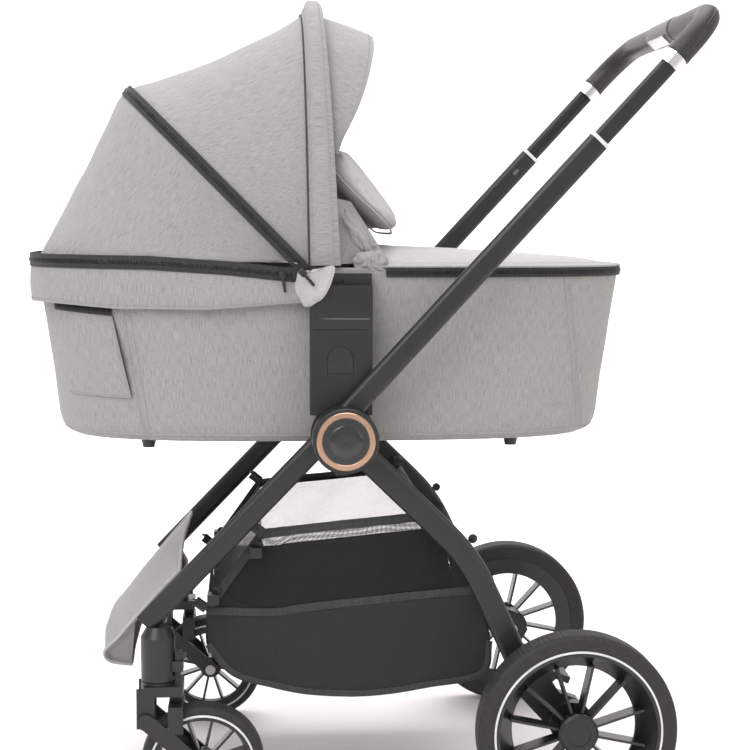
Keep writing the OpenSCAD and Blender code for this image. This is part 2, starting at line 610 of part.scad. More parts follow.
module hood_visor() color("lightgray") from_hub() {
  edge = arch(foot_band, band_crown, 0.4);
  low = arch(foot_band, band_crown, hood_t - 0.4);
  sel = [4:16];
  out = [0, 0.25, 0.6, 1];
  sheet([for (f = out) [for (k = sel) edge[k] + visor_len[k] * f * [1, 0, -0.45 * f] + [0.02, 0, 0]]],
        [for (f = out) [for (k = sel) low[k] + visor_len[k] * f * [1, 0, -0.45 * f] + [0.02, 0, 0]]]);
}

front_legs();
hub_plates();
hub_pins();
adapter_posts();
front_sockets();
front_crossbar();
front_panel();
basket();
basket_clips();
rear_legs();
rear_crossbar();
rear_axles();
brake_housings();
brake_pedal();
handle_tubes();
hub_casings();
hub_rings();
hub_caps();
handle_ferrules();
slide_tube();
grip_rings();
grip_cover();
trigger_housing();
fold_trigger();
slide_button(true);  // slide_button_left
slide_button(false);  // slide_button_right
release_button(true);  // release_button_left
release_button(false);  // release_button_right
rear_tyre(true);  // rear_tyre_left
rear_rim(true);  // rear_rim_left
rear_cap(true);  // rear_cap_left
rear_tyre(false);  // rear_tyre_right
rear_rim(false);  // rear_rim_right
rear_cap(false);  // rear_cap_right
fork_head(true);  // fork_head_left
swing_arm(true);  // swing_arm_left
buffer(true);  // buffer_left
front_tyre(true);  // front_tyre_left
front_rim(true);  // front_rim_left
front_axle(true);  // front_axle_left
swivel_lock(true);  // swivel_lock_left
fork_head(false);  // fork_head_right
swing_arm(false);  // swing_arm_right
buffer(false);  // buffer_right
front_tyre(false);  // front_tyre_right
front_rim(false);  // front_rim_right
front_axle(false);  // front_axle_right
swivel_lock(false);  // swivel_lock_right
cot_shell();
cot_rim();
mattress();
cot_brackets();
cot_feet();
apron();
wind_flap();
hood_rear_panel();
hood_bow();
hood_front_panel();
hood_band();
hood_visor();
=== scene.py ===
"""Folding stroller with a lift-off carrycot: cloth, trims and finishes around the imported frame.

Lengths in the shape tables are millimetres from the hub's centre line (X to the handle, Y across,
Z above the floor). hub() turns them into metres in the shared frame.
"""

import math

import bpy
import numpy as np
from mathutils import Matrix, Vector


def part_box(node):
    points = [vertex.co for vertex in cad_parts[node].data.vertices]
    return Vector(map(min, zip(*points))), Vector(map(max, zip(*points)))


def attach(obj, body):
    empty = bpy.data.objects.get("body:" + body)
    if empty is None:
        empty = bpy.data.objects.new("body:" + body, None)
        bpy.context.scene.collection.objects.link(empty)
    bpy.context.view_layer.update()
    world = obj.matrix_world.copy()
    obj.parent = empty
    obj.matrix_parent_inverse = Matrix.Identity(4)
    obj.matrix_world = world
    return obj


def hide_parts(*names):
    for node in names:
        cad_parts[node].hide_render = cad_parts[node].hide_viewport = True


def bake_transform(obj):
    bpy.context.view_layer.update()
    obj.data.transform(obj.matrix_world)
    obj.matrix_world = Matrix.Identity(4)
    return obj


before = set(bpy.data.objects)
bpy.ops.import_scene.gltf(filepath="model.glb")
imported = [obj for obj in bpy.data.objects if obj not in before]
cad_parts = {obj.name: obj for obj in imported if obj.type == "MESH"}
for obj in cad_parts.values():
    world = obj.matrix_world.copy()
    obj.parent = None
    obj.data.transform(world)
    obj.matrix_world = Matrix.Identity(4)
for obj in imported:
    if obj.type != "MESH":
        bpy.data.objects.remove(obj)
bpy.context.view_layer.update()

bl_info = {
    "name": "Folding stroller",
    "version": (1, 0, 0),
    "blender": (4, 5, 0),
    "location": "View3D > Sidebar > Stroller",
    "description": "Builds the cloth, trims, finishes and studio of a folding stroller",
    "category": "Add Mesh",
}

HUB_X = -42.081
HUB_Z = 532.0
COT_MID = -6.5
COT_LONG = 421.5
COT_HALF = 203.0
COT_ROUND = 3.1
HOOD_ROUND = 2.6
HOOD_HALF = 207.0
HOOD_MIDDLE = [-150, 0, 800]
HANDLE_LEAN = math.radians(47.45)
HANDLE_OFFSET = 19.5
GRIP_HALF = 244.0
GRIP_CORNER = 66.0
GRIP_AT = 752.0
BASKET_HALF = 197.0
# Metres: pitch of the machine stitches, of the finer ones, and radius of the padded grip.
STITCH = 0.0042
FINE_STITCH = 0.004
GRIP_R = 0.0168

# Crown of the hood over the middle, from the head end to the front band, as [x, z].
REAR_CROWN = [[-424, 766], [-418, 777], [-404, 805], [-388, 834], [-373, 863], [-357, 892],
              [-342, 921], [-328, 949], [-317, 974], [-309, 990], [-298, 1001]]
FRONT_CROWN = [[-298, 1001], [-284, 1009], [-268, 1014], [-239, 1023], [-210, 1034.5], [-181, 1046],
               [-152, 1059.5], [-123, 1073], [-94, 1086], [-68, 1100], [-52, 1110]]
# Side outline of the basket below its rim, front to rear.
BASKET_LOW = [[-186, 288], [-184, 233], [-150, 199], [-96, 180], [-40, 168], [42, 165], [124, 176],
              [198, 190], [208, 240], [190, 311]]
# Front foot panel: centre line and half width at each row.
PANEL_LINE = [[-229, 345], [-258, 313], [-290, 275], [-316, 243], [-336, 221], [-329, 205],
              [-300, 197]]
PANEL_HALF = [204, 204, 203, 200, 184, 160, 140]


# ---------------------------------------------------------------- shape helpers
def hub(points):
    """Millimetres from the hub's centre line, (..., 3), to metres in the frame."""
    out = np.array(points, float)
    out[..., 0] += HUB_X
    return out / 1000.0


def spow(value, power):
    """Signed power sign(v) |v|^p; with cos and sin it rounds a superellipse."""
    return np.sign(value) * np.abs(value) ** power


def smooth(value):
    """Smoothstep 3 f^2 - 2 f^3 with f held between 0 and 1."""
    f = np.clip(value, 0.0, 1.0)
    return f * f * (3.0 - 2.0 * f)


def noise(points, scale, seed=0.0):
    """Value noise from -1 to 1: a hashed lattice at points / scale, blended by smoothstep."""
    q = np.asarray(points, float) / scale
    cell = np.floor(q)
    f = smooth(q - cell)
    total = 0.0
    for dx in (0, 1):
        for dy in (0, 1):
            for dz in (0, 1):
                corner = (cell[..., 0] + dx) * 127.1 + (cell[..., 1] + dy) * 311.7
                corner = np.sin(corner + (cell[..., 2] + dz) * 74.7 + seed * 19.19) * 43758.5453
                weight = (
                    (f[..., 0] if dx else 1 - f[..., 0])
                    * (f[..., 1] if dy else 1 - f[..., 1])
                    * (f[..., 2] if dz else 1 - f[..., 2])
                )
                total = total + weight * ((corner - np.floor(corner)) * 2.0 - 1.0)
    return total


def resample(path, count=None, step=None):
    """Points at equal arc length along a polyline (n, d)."""
    path = np.asarray(path, float)
    arc = np.concatenate([[0.0], np.cumsum(np.linalg.norm(np.diff(path, axis=0), axis=1))])
    if count is None:
        count = max(2, int(round(arc[-1] / step)) + 1)
    at = np.linspace(0.0, arc[-1], count)
    return np.stack([np.interp(at, arc, path[:, k]) for k in range(path.shape[1])], axis=1)


def curve(points, count):
    """Catmull-Rom curve through the points: 0.5 (2b + (c-a)t + (2a-5b+4c-d)t^2 + (3b-a-3c+d)t^3)."""
    p = np.asarray(points, float)
    p = np.vstack([2 * p[0] - p[1], p, 2 * p[-1] - p[-2]])
    t = np.linspace(0.0, 1.0, 24, endpoint=False)[:, None]
    runs = []
    for a, b, c, d in zip(p[:-3], p[1:-2], p[2:-1], p[3:]):
        runs.append(0.5 * (2 * b + (c - a) * t + (2 * a - 5 * b + 4 * c - d) * t**2
                           + (3 * b - a - 3 * c + d) * t**3))
    runs.append(p[-2][None, :])
    return resample(np.vstack(runs), count=count)


def grid_quads(rows, cols, wrap=False):
    """Quads of a rows x cols grid of points, wrapped along its columns if asked."""
    i, j = np.meshgrid(np.arange(rows - 1), np.arange(cols if wrap else cols - 1), indexing="ij")
    k = (j + 1) % cols
    return np.stack([i * cols + j, i * cols + k, (i + 1) * cols + k, (i + 1) * cols + j],
                    axis=-1).reshape(-1, 4)


def tube_faces(rows, cols):
    """Quads round a wrapped grid and a cap on each end ring."""
    last = (rows - 1) * cols
    caps = [list(range(cols))[::-1], list(range(last, last + cols))]
    return grid_quads(rows, cols, wrap=True).tolist() + caps


def grid_edge(rows, cols):
    """Indices of a grid's border points, once round."""
    return np.concatenate([np.arange(cols), np.arange(1, rows) * cols + cols - 1,
                           (rows - 1) * cols + np.arange(cols - 2, -1, -1),
                           np.arange(rows - 2, 0, -1) * cols])


def unit(vectors):
    """Vectors scaled to length one; a zero vector stays zero."""
    length = np.linalg.norm(vectors, axis=-1, keepdims=True)
    return vectors / np.where(length < 1e-12, 1.0, length)


def grid_normals(points, wrap=False):
    """Outward unit normals dP/dv x dP/du of a grid of points."""
    du = np.gradient(points, axis=0)
    if wrap:
        dv = np.roll(points, -1, axis=1) - np.roll(points, 1, axis=1)
    else:
        dv = np.gradient(points, axis=1)
    return unit(np.cross(dv, du))


def facing(points, inside, wrap=False):
    """Grid normals turned away from a point on the inner side."""
    normal = grid_normals(points, wrap)
    return normal * np.sign(np.sum(normal * (points - inside)))


def arc_length(points):
    """Length along each row of a grid of points, from its first column."""
    return np.cumsum(np.linalg.norm(np.diff(points, axis=1, prepend=points[:, :1]), axis=2), axis=1)


def make(name, verts, faces, materials, body=None, cloth=None, slots=None, crease=45.0, slot=None):
    """One mesh object at the origin. cloth is a (n, 2) place on the flat cloth, in metres."""
    mesh = bpy.data.meshes.new(name)
    mesh.from_pydata(np.asarray(verts, float).tolist(), [],
                     [list(f) for f in (faces.tolist() if hasattr(faces, "tolist") else faces)])
    for material in materials if isinstance(materials, (list, tuple)) else [materials]:
        mesh.materials.append(material)
    if slots is not None:
        mesh.polygons.foreach_set("material_index", np.asarray(slots, np.int32))
    if cloth is not None:
        layer = mesh.attributes.new("cloth", "FLOAT_VECTOR", "POINT")
        flat = np.zeros((len(verts), 3))
        flat[:, :2] = cloth
        layer.data.foreach_set("vector", flat.ravel())
    mesh.polygons.foreach_set("use_smooth", np.ones(len(mesh.polygons), bool))
    mesh.set_sharp_from_angle(angle=math.radians(crease))
    mesh.update()
    obj = bpy.data.objects.new(name, mesh)
    bpy.context.scene.collection.objects.link(obj)
    if body:
        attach(obj, body)
    return obj


def sew(name, shape, material, body, slot):
    """A trim laid flat on the object's X and Y: thread, tape, welt or binding."""
    return make(name, *shape, MATERIALS[material], body, np.asarray(shape[0])[:, :2], slot=slot)


def flat_place(points):
    """Place of each grid point on the flat cloth: mean arc length along the rows and columns."""
    down = np.linalg.norm(np.diff(points, axis=0), axis=2).mean(axis=1)
    along = np.linalg.norm(np.diff(points, axis=1), axis=2).mean(axis=0)
    u = np.concatenate([[0.0], np.cumsum(along)])
    v = np.concatenate([[0.0], np.cumsum(down)])
    uu, vv = np.meshgrid(u, v)
    return np.stack([uu.ravel(), vv.ravel()], axis=1)


def cloth_sheet(name, points, thick, cloths, inside, body=None, slot="cloth_grey"):
    """Closed thin sheet: the grid is its outer face and its inner face is thick metres further in.
    cloths names the outer and the inner cloth; inside is a point on the inner side."""
    normal = grid_normals(points)
    if np.sum(normal * (points - np.asarray(inside))) < 0:
        points = points[:, ::-1]
        normal = grid_normals(points)
    rows, cols = points.shape[:2]
    count = rows * cols
    top = grid_quads(rows, cols)
    low = top[:, ::-1] + count
    edge = grid_edge(rows, cols)
    after = np.roll(edge, -1)
    rim = np.stack([after, edge, edge + count, after + count], axis=1)
    verts = np.vstack([points.reshape(-1, 3), (points - normal * thick).reshape(-1, 3)])
    faces = np.vstack([top, low, rim])
    slots = np.concatenate([np.zeros(len(top)), np.ones(len(low)), np.zeros(len(rim))])
    place = flat_place(points)
    return make(name, verts, faces, [MATERIALS[cloth] for cloth in cloths], body,
                np.vstack([place, place]), slots, slot=slot)


def as_sheet(grid):
    """Measures a sheet of cloth: its cut is the grid's longest row by its longest column, rounded to the
    millimetre and not used."""
    grid = np.asarray(grid) / 1000.0
    width = np.linalg.norm(np.diff(grid, axis=1), axis=2).sum(axis=1).max()
    length = np.linalg.norm(np.diff(grid, axis=0), axis=2).sum(axis=0).max()
    width, length = round(float(width), 3), round(float(length), 3)


def path_frames(path, up, closed=False):
    """Tangents, ups square to them and sides of a path; up is (3,) or one row per point."""
    if closed:
        tangent = unit(np.roll(path, -1, axis=0) - np.roll(path, 1, axis=0))
    else:
        tangent = unit(np.gradient(path, axis=0))
    up = np.broadcast_to(np.asarray(up, float), path.shape)
    up = unit(up - tangent * np.sum(up * tangent, axis=1, keepdims=True))
    return tangent, up, np.cross(tangent, up)


def sweep(path, section, up=(0, 0, 1), closed=False, scale=None):
    """Carries a closed section (m, 2) along a path: point = path + a side + b up.
    Returns verts and faces; open ends are capped."""
    path = np.asarray(path, float)
    section = np.asarray(section, float)
    area = np.sum(section[:, 0] * np.roll(section[:, 1], -1) - section[:, 1] * np.roll(section[:, 0], -1))
    if area < 0:
        section = section[::-1]
    _, ups, side = path_frames(path, up, closed)
    size = np.ones(len(path)) if scale is None else np.asarray(scale, float)
    ring = (path[:, None, :] + side[:, None, :] * (section[None, :, 0, None] * size[:, None, None])
            + ups[:, None, :] * (section[None, :, 1, None] * size[:, None, None]))
    n, m = ring.shape[:2]
    if closed:
        ring = np.concatenate([ring, ring[:1]], axis=0)
        faces = grid_quads(n + 1, m, wrap=True) % (n * m)
        faces = faces.tolist()
        ring = ring[:-1]
    else:
        faces = tube_faces(n, m)
    return ring.reshape(-1, 3), faces


def circle(radius, sides=10):
    """Round section."""
    a = np.linspace(0, 2 * np.pi, sides, endpoint=False)
    return np.stack([radius * np.cos(a), radius * np.sin(a)], axis=1)


def strip(wide, thick):
    """Flat section with softened long edges, resting on the path."""
    w, t = wide / 2, thick
    return np.array([[-w, 0], [w, 0], [w, t * 0.55], [w - t * 0.6, t], [-w + t * 0.6, t], [-w, t * 0.55]])


def place_all(verts, faces, centres, tangents, ups, sides):
    """Copies a small shape to many frames: x along the side, y along the tangent, z along the up."""
    verts = np.asarray(verts, float)
    out = (centres[:, None, :] + sides[:, None, :] * verts[None, :, 0, None]
           + tangents[:, None, :] * verts[None, :, 1, None] + ups[:, None, :] * verts[None, :, 2, None])
    shifted = []
    for k in range(len(centres)):
        shifted += [[v + k * len(verts) for v in f] for f in faces]
    return out.reshape(-1, 3), shifted


def merge(*shapes):
    """Joins (verts, faces) pairs into one."""
    verts, faces, base = [], [], 0
    for v, f in shapes:
        verts.append(np.asarray(v, float))
        faces += [[k + base for k in q] for q in f]
        base += len(v)
    return np.vstack(verts), faces


def block(sx, sy, sz, soft=0.2):
    """Small box with chamfered top edges, centred in x and y and standing on z = 0."""
    a, b, c = sx / 2, sy / 2, soft * min(sx, sy)
    verts = [[-a, -b, 0], [a, -b, 0], [a, b, 0], [-a, b, 0],
             [-a, -b, sz - c], [a, -b, sz - c], [a, b, sz - c], [-a, b, sz - c],
             [-a + c, -b + c, sz], [a - c, -b + c, sz], [a - c, b - c, sz], [-a + c, b - c, sz]]
    faces = [[3, 2, 1, 0]]
    for base in (0, 4):
        for k in range(4):
            n = (k + 1) % 4
            faces.append([base + k, base + n, base + n + 4, base + k + 4])
    faces.append([8, 9, 10, 11])
    return np.array(verts), faces


def lathe(profile, turns=96):
    """Turns a profile of [radius, along] about the Y axis."""
    profile = np.asarray(profile, float)
    a = np.linspace(0, 2 * np.pi, turns, endpoint=False)
    r, w = profile[:, 0][:, None], profile[:, 1][:, None]
    flat = np.ones_like(a)[None, :]
    verts = np.stack([r * np.cos(a), w * flat, r * np.sin(a)], axis=-1)
    return verts.reshape(-1, 3), grid_quads(len(profile), turns, wrap=True).tolist()


def outward(shape, centre):
    """Turns the faces of a shape the right way round, by the sign of its volume about the centre."""
    verts, faces = shape
    v = np.asarray(verts, float) - np.asarray(centre, float)
    volume = 0.0
    for f in faces:
        for k in range(1, len(f) - 1):
            volume += np.dot(v[f[0]], np.cross(v[f[k]], v[f[k + 1]]))
    return verts, ([f[::-1] for f in faces] if volume < 0 else faces)


def fitted(shape, side, at):
    """A turned shape moved to a place on one side of the object, its faces outward."""
    verts = np.asarray(shape[0]) * [1, side, 1] + at
    return outward((verts, shape[1]), at)


def stitches(path, up, pitch, length=0.0026, radius=0.00045, lift=0.0002):
    """A row of thread stitches: slim rounded dashes at an equal pitch along the path."""
    path = resample(path, step=pitch)
    tangent, ups, side = path_frames(path, resample_like(up, len(path)))
    h, r = length / 2, radius
    verts = np.array([[0, -h, 0], [-r, -h * 0.5, 0], [0, -h * 0.5, r], [r, -h * 0.5, 0],
                      [-r, h * 0.5, 0], [0, h * 0.5, r], [r, h * 0.5, 0], [0, h, 0],
                      [0, -h * 0.5, -r], [0, h * 0.5, -r]])
    faces = [[0, 1, 2], [0, 2, 3], [0, 3, 8], [0, 8, 1], [1, 4, 5, 2], [2, 5, 6, 3], [3, 6, 9, 8],
             [8, 9, 4, 1], [7, 5, 4], [7, 6, 5], [7, 9, 6], [7, 4, 9]]
    return place_all(verts, faces, path + ups * lift, tangent, ups, side)


def resample_like(up, count):
    """Ups given per point, brought to another number of points; one vector stays as it is."""
    up = np.asarray(up, float)
    if up.ndim == 1:
        return up
    at = np.linspace(0, len(up) - 1, count)
    return unit(np.stack([np.interp(at, np.arange(len(up)), up[:, k]) for k in range(3)], axis=1))


def sew_zip(name, path, up, wide, body, thick=0.0011):
    """A coil zip along a path: its tape with two hems, and the row of teeth on it."""
    path = resample(path, step=0.006)
    ups = resample_like(up, len(path))
    tape = sweep(path, strip(wide, thick), ups)
    teeth_path = resample(path, step=0.0021)
    tangent, teeth_up, side = path_frames(teeth_path, resample_like(ups, len(teeth_path)))
    tooth = block(0.0052, 0.0013, 0.0012)
    teeth = place_all(tooth[0], tooth[1], teeth_path + teeth_up * thick, tangent, teeth_up, side)
    _, path_up, path_side = path_frames(path, ups)
    hems = []
    for s in (-1, 1):
        line = path + path_side * s * (wide / 2 - 0.0012) + path_up * thick * 0.7
        hems.append(sweep(line, circle(0.0007, 6), path_up))
    sew(name, merge(tape, *hems), "zip_tape", body, "cloth_black")
    make(f"{name}_coil", *teeth, MATERIALS["zip_coil"], body, slot="plastic_black")


# ---------------------------------------------------------------- materials
class Shader:
    """A node material built step by step; its methods add nodes and return their outputs."""

    def __init__(self, name, colour, rough=0.5, metal=0.0, coat=0.0, sheen=0.0):
        """A Principled material of one colour."""
        self.mat = bpy.data.materials.new(name)
        self.mat.use_nodes = True
        self.mat.diffuse_color = (*colour, 1.0)
        self.tree = self.mat.node_tree
        self.skin = self.tree.nodes["Principled BSDF"]
        self.skin.inputs["Base Color"].default_value = (*colour, 1.0)
        self.skin.inputs["Roughness"].default_value = rough
        self.skin.inputs["Metallic"].default_value = metal
        self.skin.inputs["Coat Weight"].default_value = coat
        self.skin.inputs["Coat Roughness"].default_value = 0.12
        self.skin.inputs["Sheen Weight"].default_value = sheen
        self.skin.inputs["Sheen Roughness"].default_value = 0.6

    def node(self, kind, **settings):
        """A new node of a kind with its settings."""
        made = self.tree.nodes.new(kind)
        for key, value in settings.items():
            setattr(made, key, value)
        return made

    def link(self, a, b):
        """Joins output a to input b."""
        self.tree.links.new(a, b)

    def place(self, kind, scale):
        """Object coordinates or the cloth's own flat place, times a scale per axis."""
        if kind == "cloth":
            source = self.node("ShaderNodeAttribute", attribute_name="cloth").outputs["Vector"]
        else:
            source = self.node("ShaderNodeTexCoord").outputs["Object"]
        mapping = self.node("ShaderNodeMapping")
        mapping.inputs["Scale"].default_value = scale
        self.link(source, mapping.inputs["Vector"])
        return mapping.outputs["Vector"]

    def noise(self, kind, scale, detail=2.0):
        """Noise over the object or the flat cloth, with a scale per axis."""
        made = self.node("ShaderNodeTexNoise")
        made.inputs["Scale"].default_value = 1.0
        made.inputs["Detail"].default_value = detail
        self.link(self.place(kind, scale), made.inputs["Vector"])
        return made.outputs["Fac"]

    def math(self, operation, a, b=None):
        """One math node; a and b are outputs or numbers."""
        made = self.node("ShaderNodeMath", operation=operation)
        for slot, value in ((0, a), (1, b)):
            if value is None:
                continue
            if isinstance(value, (int, float)):
                made.inputs[slot].default_value = value
            else:
                self.link(value, made.inputs[slot])
        return made.outputs[0]

    def colours(self, fac, stops):
        """Colour ramp from fac into the base colour; stops are (position, colour)."""
        ramp = self.node("ShaderNodeValToRGB")
        while len(ramp.color_ramp.elements) < len(stops):
            ramp.color_ramp.elements.new(0.5)
        for element, (at, colour) in zip(ramp.color_ramp.elements, stops):
            element.position = at
            element.color = (*colour, 1.0)
        self.link(fac, ramp.inputs["Fac"])
        self.link(ramp.outputs["Color"], self.skin.inputs["Base Color"])

    def bump(self, height, distance, strength=1.0):
        """Adds a bump on top of those already there."""
        made = self.node("ShaderNodeBump")
        made.inputs["Strength"].default_value = strength
        made.inputs["Distance"].default_value = distance
        self.link(height, made.inputs["Height"])
        previous = self.skin.inputs["Normal"]
        if previous.is_linked:
            self.link(previous.links[0].from_socket, made.inputs["Normal"])
        self.link(made.outputs["Normal"], self.skin.inputs["Normal"])

    def roughness(self, fac, low, high):
        """Roughness that runs from low to high with fac."""
        made = self.node("ShaderNodeMapRange")
        made.inputs["To Min"].default_value = low
        made.inputs["To Max"].default_value = high
        self.link(fac, made.inputs["Value"])
        self.link(made.outputs["Result"], self.skin.inputs["Roughness"])

    def weave(self, yarn):
        """Plain weave height sin(pi u / yarn) sin(pi v / yarn) over the flat cloth."""
        split = self.node("ShaderNodeSeparateXYZ")
        self.link(self.place("cloth", (math.pi / yarn, math.pi / yarn, 1.0)), split.inputs["Vector"])
        return self.math("MULTIPLY", self.math("SINE", split.outputs["X"]),
                         self.math("SINE", split.outputs["Y"]))


def shade(colour, factor):
    """A colour made lighter or darker, held below one."""
    return tuple(min(1.0, c * factor) for c in colour[:3])


def heather(name, colour, contrast=0.24):
    """Melange cloth: upright slubs and fine flecks in the colour, over a plain weave."""
    s = Shader(name, colour, 0.92, sheen=0.18)
    slub = s.noise("cloth", (1250.0, 62.0, 1.0), 3.0)
    cross = s.noise("cloth", (110.0, 900.0, 1.0), 2.0)
    fleck = s.noise("cloth", (900.0, 900.0, 1.0), 2.0)
    mixed = s.math("ADD", s.math("MULTIPLY", slub, 0.62), s.math("MULTIPLY", cross, 0.2))
    mixed = s.math("ADD", mixed, s.math("MULTIPLY", fleck, 0.18))
    s.colours(mixed, [(0.3, shade(colour, 1 - contrast * 1.9)), (0.46, shade(colour, 1 - contrast * 0.3)),
                      (0.56, shade(colour, 1 + contrast * 0.35)), (0.72, shade(colour, 1 + contrast * 1.3))])
    s.bump(s.weave(0.0011), 0.00022, 0.7)
    s.bump(slub, 0.0003, 0.4)
    s.roughness(fleck, 0.86, 0.96)
    return s.mat


def plain_cloth(name, colour, yarn=0.0009, depth=0.0002):
    """Plain dark or light cloth: weave with a soft change of tone."""
    s = Shader(name, colour, 0.85, sheen=0.1)
    tone = s.noise("cloth", (240.0, 240.0, 1.0), 4.0)
    s.colours(tone, [(0.3, shade(colour, 0.75)), (0.7, shade(colour, 1.3))])
    s.bump(s.weave(yarn), depth, 0.6)
    s.bump(tone, 0.0002, 0.35)
    s.roughness(tone, 0.75, 0.92)
    return s.mat


def mesh_cloth(name, colour):
    """Open net: holes where both waves of the weave are low, the rest is yarn."""
    s = Shader(name, colour, 0.7)
    split = s.node("ShaderNodeSeparateXYZ")
    s.link(s.place("cloth", (math.pi / 0.0015, math.pi / 0.0015, 1.0)), split.inputs["Vector"])
    across = s.math("ABSOLUTE", s.math("SINE", split.outputs["X"]))
    along = s.math("ABSOLUTE", s.math("SINE", split.outputs["Y"]))
    hole = s.math("MINIMUM", across, along)
    cover = s.math("LESS_THAN", hole, 0.43)
    s.link(cover, s.skin.inputs["Alpha"])
    tone = s.noise("cloth", (500.0, 500.0, 1.0), 2.0)
    s.colours(tone, [(0.3, shade(colour, 0.7)), (0.7, shade(colour, 1.3))])
    s.bump(hole, 0.0003, 0.5)
    return s.mat


def moulded(name, colour, rough, grain=0.00006, coat=0.0):
    """Moulded plastic or rubber: fine pebble grain, with a slow change of gloss."""
    s = Shader(name, colour, rough, coat=coat)
    pebble = s.noise("object", (1400.0, 1400.0, 1400.0), 3.0)
    slow = s.noise("object", (18.0, 18.0, 18.0), 4.0)
    s.colours(slow, [(0.3, shade(colour, 0.86)), (0.7, shade(colour, 1.16))])
    s.bump(pebble, grain, 0.6)
    s.roughness(slow, max(0.04, rough - 0.06), min(1.0, rough + 0.08))
    return s.mat


def plated(name, colour, rough, brushed=0.0):
    """Metal: faint polishing lines around the part and a slow change of gloss."""
    s = Shader(name, colour, rough, metal=1.0)
    lines = s.noise("object", (60.0, 2600.0, 60.0), 2.0)
    slow = s.noise("object", (30.0, 30.0, 30.0), 3.0)
    s.colours(slow, [(0.3, shade(colour, 0.93)), (0.7, shade(colour, 1.05))])
    s.bump(lines, 0.00001 + brushed, 0.4)
    s.roughness(slow, max(0.03, rough - 0.03), rough + 0.05)
    return s.mat


def leather(name, colour):
    """Perforated leather: rows of small punched dots over a creased grain."""
    s = Shader(name, colour, 0.5, coat=0.12)
    crease = s.node("ShaderNodeTexVoronoi", feature="DISTANCE_TO_EDGE")
    crease.inputs["Scale"].default_value = 1.0
    s.link(s.place("cloth", (420.0, 420.0, 420.0)), crease.inputs["Vector"])
    split = s.node("ShaderNodeSeparateXYZ")
    s.link(s.place("cloth", (math.pi / 0.0038, math.pi / 0.0038, 1.0)), split.inputs["Vector"])
    dots = s.math("MULTIPLY", s.math("SINE", split.outputs["X"]), s.math("SINE", split.outputs["Y"]))
    punched = s.math("GREATER_THAN", s.math("ABSOLUTE", dots), 0.86)
    s.colours(punched, [(0.0, colour), (1.0, shade(colour, 0.25))])
    s.bump(s.math("MINIMUM", crease.outputs["Distance"], 0.12), 0.0012, 0.35)
    s.bump(s.math("SUBTRACT", 1.0, punched), 0.0004, 0.8)
    return s.mat


def tread(name, colour, centre, outer):
    """Tyre rubber: fine rings about the wheel's centre on its side and short blocks on its tread."""
    s = Shader(name, colour, 0.72)
    split = s.node("ShaderNodeSeparateXYZ")
    s.link(s.place("object", (1.0, 1.0, 1.0)), split.inputs["Vector"])
    x = s.math("SUBTRACT", split.outputs["X"], centre[0])
    z = s.math("SUBTRACT", split.outputs["Z"], centre[1])
    radius = s.math("SQRT", s.math("ADD", s.math("MULTIPLY", x, x), s.math("MULTIPLY", z, z)))
    rings = s.math("SINE", s.math("MULTIPLY", radius, 2.0 * math.pi / 0.0026))
    angle = s.math("ARCTAN2", z, x)
    blocks = s.math("SINE", s.math("MULTIPLY", angle, 132.0))
    on_tread = s.math("GREATER_THAN", radius, outer - 0.004)
    height = s.math("ADD", s.math("MULTIPLY", rings, s.math("SUBTRACT", 1.0, on_tread)),
                    s.math("MULTIPLY", blocks, on_tread))
    dust = s.noise("object", (90.0, 90.0, 90.0), 5.0)
    s.colours(dust, [(0.3, shade(colour, 0.8)), (0.7, shade(colour, 1.4))])
    s.bump(height, 0.0005, 0.5)
    s.roughness(dust, 0.6, 0.85)
    return s.mat


def all_materials(looks):
    """Every material of the stroller, by name."""
    grey = tuple(looks.cloth_colour)
    frame_colour = tuple(looks.frame_colour)
    return {
        "cloth_grey": heather("cloth grey heather", grey),
        "cloth_light": heather("cloth light heather", shade(grey, 1.42), 0.12),
        "lining": plain_cloth("lining", (0.62, 0.6, 0.58), 0.0007, 0.0001),
        "cloth_black": plain_cloth("cloth black", (0.013, 0.013, 0.014), 0.0012, 0.0003),
        "binding": plain_cloth("binding tape", (0.034, 0.034, 0.035), 0.0008, 0.0002),
        "zip_tape": plain_cloth("zip tape", (0.024, 0.024, 0.026), 0.001, 0.0003),
        "zip_coil": moulded("zip coil", (0.016, 0.016, 0.017), 0.35),
        "net": mesh_cloth("basket net", (0.016, 0.016, 0.017)),
        "thread": plain_cloth("thread", (0.3, 0.3, 0.31), 0.0003, 0.0001),
        "thread_dark": plain_cloth("dark thread", (0.05, 0.05, 0.05), 0.0003, 0.0001),
        "frame_black": moulded("satin powder coat", frame_colour, 0.42, 0.00004, coat=0.1),
        "plastic_black": moulded("black plastic", (0.014, 0.014, 0.015), 0.42),
        "gloss_black": moulded("gloss black", (0.012, 0.012, 0.013), 0.12, 0.000008, coat=0.6),
        "rubber": moulded("soft rubber", (0.016, 0.016, 0.016), 0.75, 0.00012),
        "rim_black": moulded("satin rim", (0.013, 0.013, 0.014), 0.36, 0.00003, coat=0.15),
        "housing_grey": moulded("housing grey", (0.11, 0.11, 0.112), 0.45, 0.00005),
        "ferrule_white": moulded("ferrule white", (0.75, 0.75, 0.74), 0.35, 0.00002),
        "rose_gold": plated("rose gold", tuple(looks.ring_colour), 0.2),
        "chrome": plated("chrome", (0.82, 0.82, 0.82), 0.08),
        "steel": plated("steel", (0.55, 0.55, 0.55), 0.3, 0.00003),
        "stripe": moulded("tyre stripe", (0.7, 0.7, 0.69), 0.5, 0.00002),
        "grip_leather": leather("grip leather", (0.022, 0.0195, 0.018)),
    }


MATERIALS = {}


